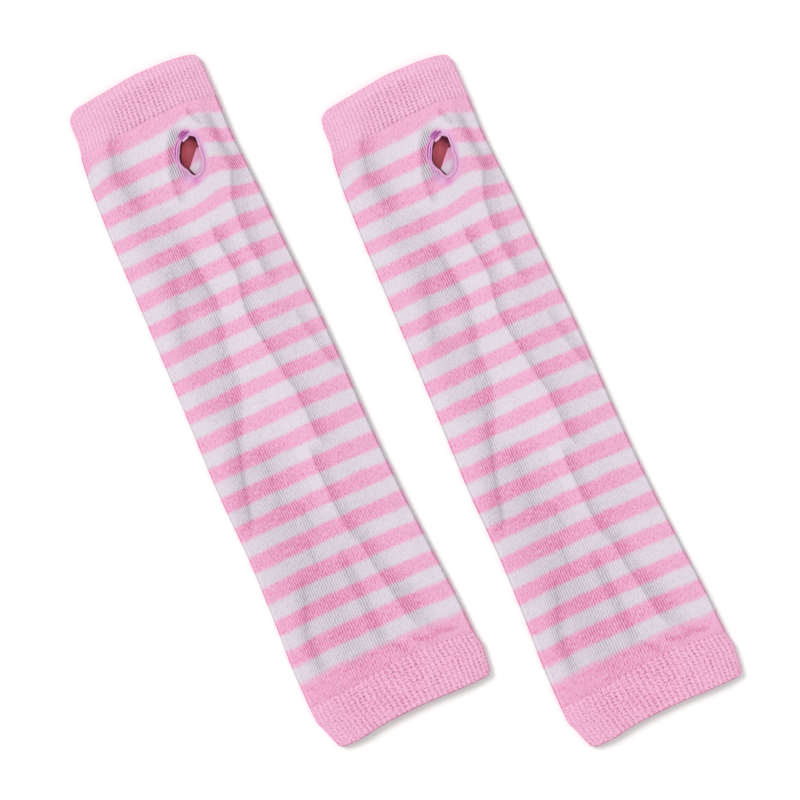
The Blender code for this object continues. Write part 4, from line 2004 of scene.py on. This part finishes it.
    def mesh(self, name: str) -> bpy.types.Mesh:
        """Make the stitching's mesh.

        Args:
            name: The mesh's name.

        Returns:
            The mesh, of closed cords that lie on the cloth.
        """
        turn = math.tau * np.arange(self.samples) / self.samples
        thread = ThreadMesh()
        self.lay_bed(thread, turn)
        self.lay_strands(thread, turn)
        self.lay_loose(thread)
        self.lay_stitches(thread)
        return thread.mesh(name)

    def dressed(self) -> bpy.types.Mesh:
        """Return the stitching's mesh with its material."""
        return dress(self.mesh("thumb_thread"), self.finish.material("lilac_thread"))


def add_object(name: str, data: bpy.types.ID) -> bpy.types.Object:
    """Add an object to the scene.

    Args:
        name: The object's name.
        data: What it shows.

    Returns:
        The object.
    """
    made = bpy.data.objects.new(name, data)
    bpy.context.scene.collection.objects.link(made)
    return made


@dataclass(frozen=True)
class Glove:
    """One glove's pieces: their meshes, and the solids that they stand for."""

    side: Side
    corner: Vector

    def piece(self, name: str, mesh: bpy.types.Mesh, node: str, slot: str) -> bpy.types.Object:
        """Add one piece of the glove.

        Args:
            name: The piece's name, without the glove's side.
            mesh: Its mesh, which both gloves share.
            node: The solid that it replaces, without the glove's side.
            slot: The material slot that it stands for; it is not used.

        Returns:
            The piece.
        """
        made = add_object(f"{self.side.value}_{name}", mesh)
        made.location = self.corner
        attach(made, "root")
        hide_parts(f"{self.side.value}_{node}")
        LOG.info("%s: %d faces", made.name, len(mesh.polygons))
        return made


@dataclass
class Pair:
    """Both gloves, from the meshes that they share."""

    form: GloveForm = GloveForm()

    def corners(self, tube: JerseyTube) -> dict[Side, Vector]:
        """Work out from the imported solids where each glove's own frame lies.

        Args:
            tube: The jersey tube.

        Returns:
            The frame's origin in the scene, for each glove.
        """
        start, end = tube.lines()
        arm_left = min(edge.left for edge in self.form.outline.edges) * MM
        middle = (min(start.values) + max(end.values)) / 2 * MM
        boxes = {side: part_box(f"{side.value}_striped_tube") for side in Side}
        return {
            side: Vector((low[0] - arm_left, (low[1] + high[1]) / 2 - middle, 0.0))
            for side, (low, high) in boxes.items()
        }

    def build(self) -> None:
        """Make the meshes, dress them, and lay out both gloves."""
        tube = JerseyTube(self.form)
        hand = RibCuff(
            self.form, RibFinish(pink=(238, 187, 214), pink_shade_and_mottle=(218, 122, 170), ladder=0.6, uneven=2.2),
            at_hand=True, span=(142.0, 161.0), course_pitch=1.45, seam_step=0.6,
            rib_height=0.17, rim_relief=0.1, seam_relief=1.25, weakest=0.12, fades_from=0.55, fades_to=0.85,
            fewest_rungs=0.4, welt=0.17, lip_shade=3.8,
        )
        arm = RibCuff(
            self.form, RibFinish(),
            at_hand=False, span=(-155.5, -132.0), course_pitch=1.67, seam_step=-0.6,
            rib_height=0.12, rim_relief=0.8, seam_relief=1.1, weakest=0.4, fades_from=0.72, fades_to=0.95,
            fewest_rungs=1.0, welt=0.05, lip_shade=5.0,
        )
        parts = (
            ("jersey_tube", tube.dressed(), "striped_tube", "striped_jersey"),
            ("hand_rib", hand.dressed("hand_rib"), "hand_cuff", "pink_rib"),
            ("arm_rib", arm.dressed("arm_rib"), "arm_cuff", "pink_rib"),
            ("thumb_thread", ThumbStitching(self.form).dressed(), "thumb_edging", "lilac_thread"),
        )
        for side, corner in self.corners(tube).items():
            knit, hand_cuff, arm_cuff, sewn = (Glove(side, corner).piece(*part) for part in parts)
            self.declare(knit, tube)
            self.declare(hand_cuff, hand)
            self.declare(arm_cuff, arm)

    def declare(self, piece: bpy.types.Object, maker: JerseyTube | RibCuff) -> None:
        """Log how far round a piece is cut and how long it is.

        Args:
            piece: The piece.
            maker: What it was made from.
        """
        girth = self.form.outline.girth(*maker.span)
        low, high = maker.lines()
        length = float(np.mean(high.values) - np.mean(low.values))
        LOG.info("%s: cut %.0f mm round, %.0f mm long", piece.name, girth, length)


@dataclass(frozen=True)
class Studio:
    """The pale floor, the soft light from the left, and the camera straight above."""

    floor_size: float = 80.0
    floor_drop: float = 0.0003
    floor_colour: Colour = (250, 250, 248)
    floor_roughness: float = 0.9
    floor_specular: float = 0.1
    sky: float = 0.765
    key_strength: float = 1.6
    key_tilt: float = math.radians(46)
    key_side: float = math.radians(148)
    key_angle: float = math.radians(24)
    turned: float = math.radians(-24)
    lens: float = 85.0
    sensor: float = 36.0
    span: float = 0.368
    clip: float = 0.01
    aim: tuple[float, float, float] = (0.0008, -0.0019, 0.004)

    def floor(self) -> None:
        """Lay the floor."""
        half = self.floor_size / 2
        mesh = bpy.data.meshes.new("floor")
        corners = [(-half, -half, 0.0), (half, -half, 0.0), (half, half, 0.0), (-half, half, 0.0)]
        mesh.from_pydata(corners, [], [(0, 1, 2, 3)])
        canvas = Canvas("pale_floor")
        canvas.plug(self.floor_colour, canvas.shader.inputs["Base Color"])
        canvas.plug(self.floor_roughness, canvas.shader.inputs["Roughness"])
        canvas.plug(self.floor_specular, canvas.shader.inputs["Specular IOR Level"])
        floor = add_object("floor", dress(mesh, canvas.material))
        floor.location.z = -self.floor_drop

    def lights(self) -> None:
        """Set the soft surrounding light and the key light."""
        world = bpy.data.worlds.new("studio")
        world.use_nodes = True
        background = world.node_tree.nodes["Background"]
        background.inputs["Color"].default_value = (1.0, 1.0, 1.0, 1.0)
        background.inputs["Strength"].default_value = self.sky
        bpy.context.scene.world = world
        key = bpy.data.lights.new("key", "SUN")
        key.energy = self.key_strength
        key.angle = self.key_angle
        side = self.turned + self.key_side
        towards = Vector((
            math.sin(self.key_tilt) * math.cos(side),
            math.sin(self.key_tilt) * math.sin(side),
            math.cos(self.key_tilt),
        ))
        add_object("key", key).rotation_euler = towards.to_track_quat("Z", "Y").to_euler()

    def camera(self) -> None:
        """Set the camera straight above the pair, turned as the photograph is."""
        camera = bpy.data.cameras.new("camera")
        camera.lens = self.lens
        camera.sensor_width = self.sensor
        camera.clip_start = self.clip
        placed = add_object("camera", camera)
        placed.location = Vector(self.aim) + Vector((0.0, 0.0, self.span * self.lens / self.sensor))
        placed.rotation_euler = Euler((0.0, 0.0, self.turned))
        bpy.context.scene.camera = placed
        bpy.context.scene.view_settings.view_transform = "Standard"

    def set_up(self) -> None:
        """Build the whole studio."""
        self.floor()
        self.lights()
        self.camera()


def main() -> None:
    """Load the frame, and build the studio and the gloves."""
    logging.basicConfig(level=logging.INFO, format="%(name)s: %(message)s")
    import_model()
    Studio().set_up()
    Pair().build()
    bpy.context.view_layer.update()


if __name__ == "__main__":
    main()
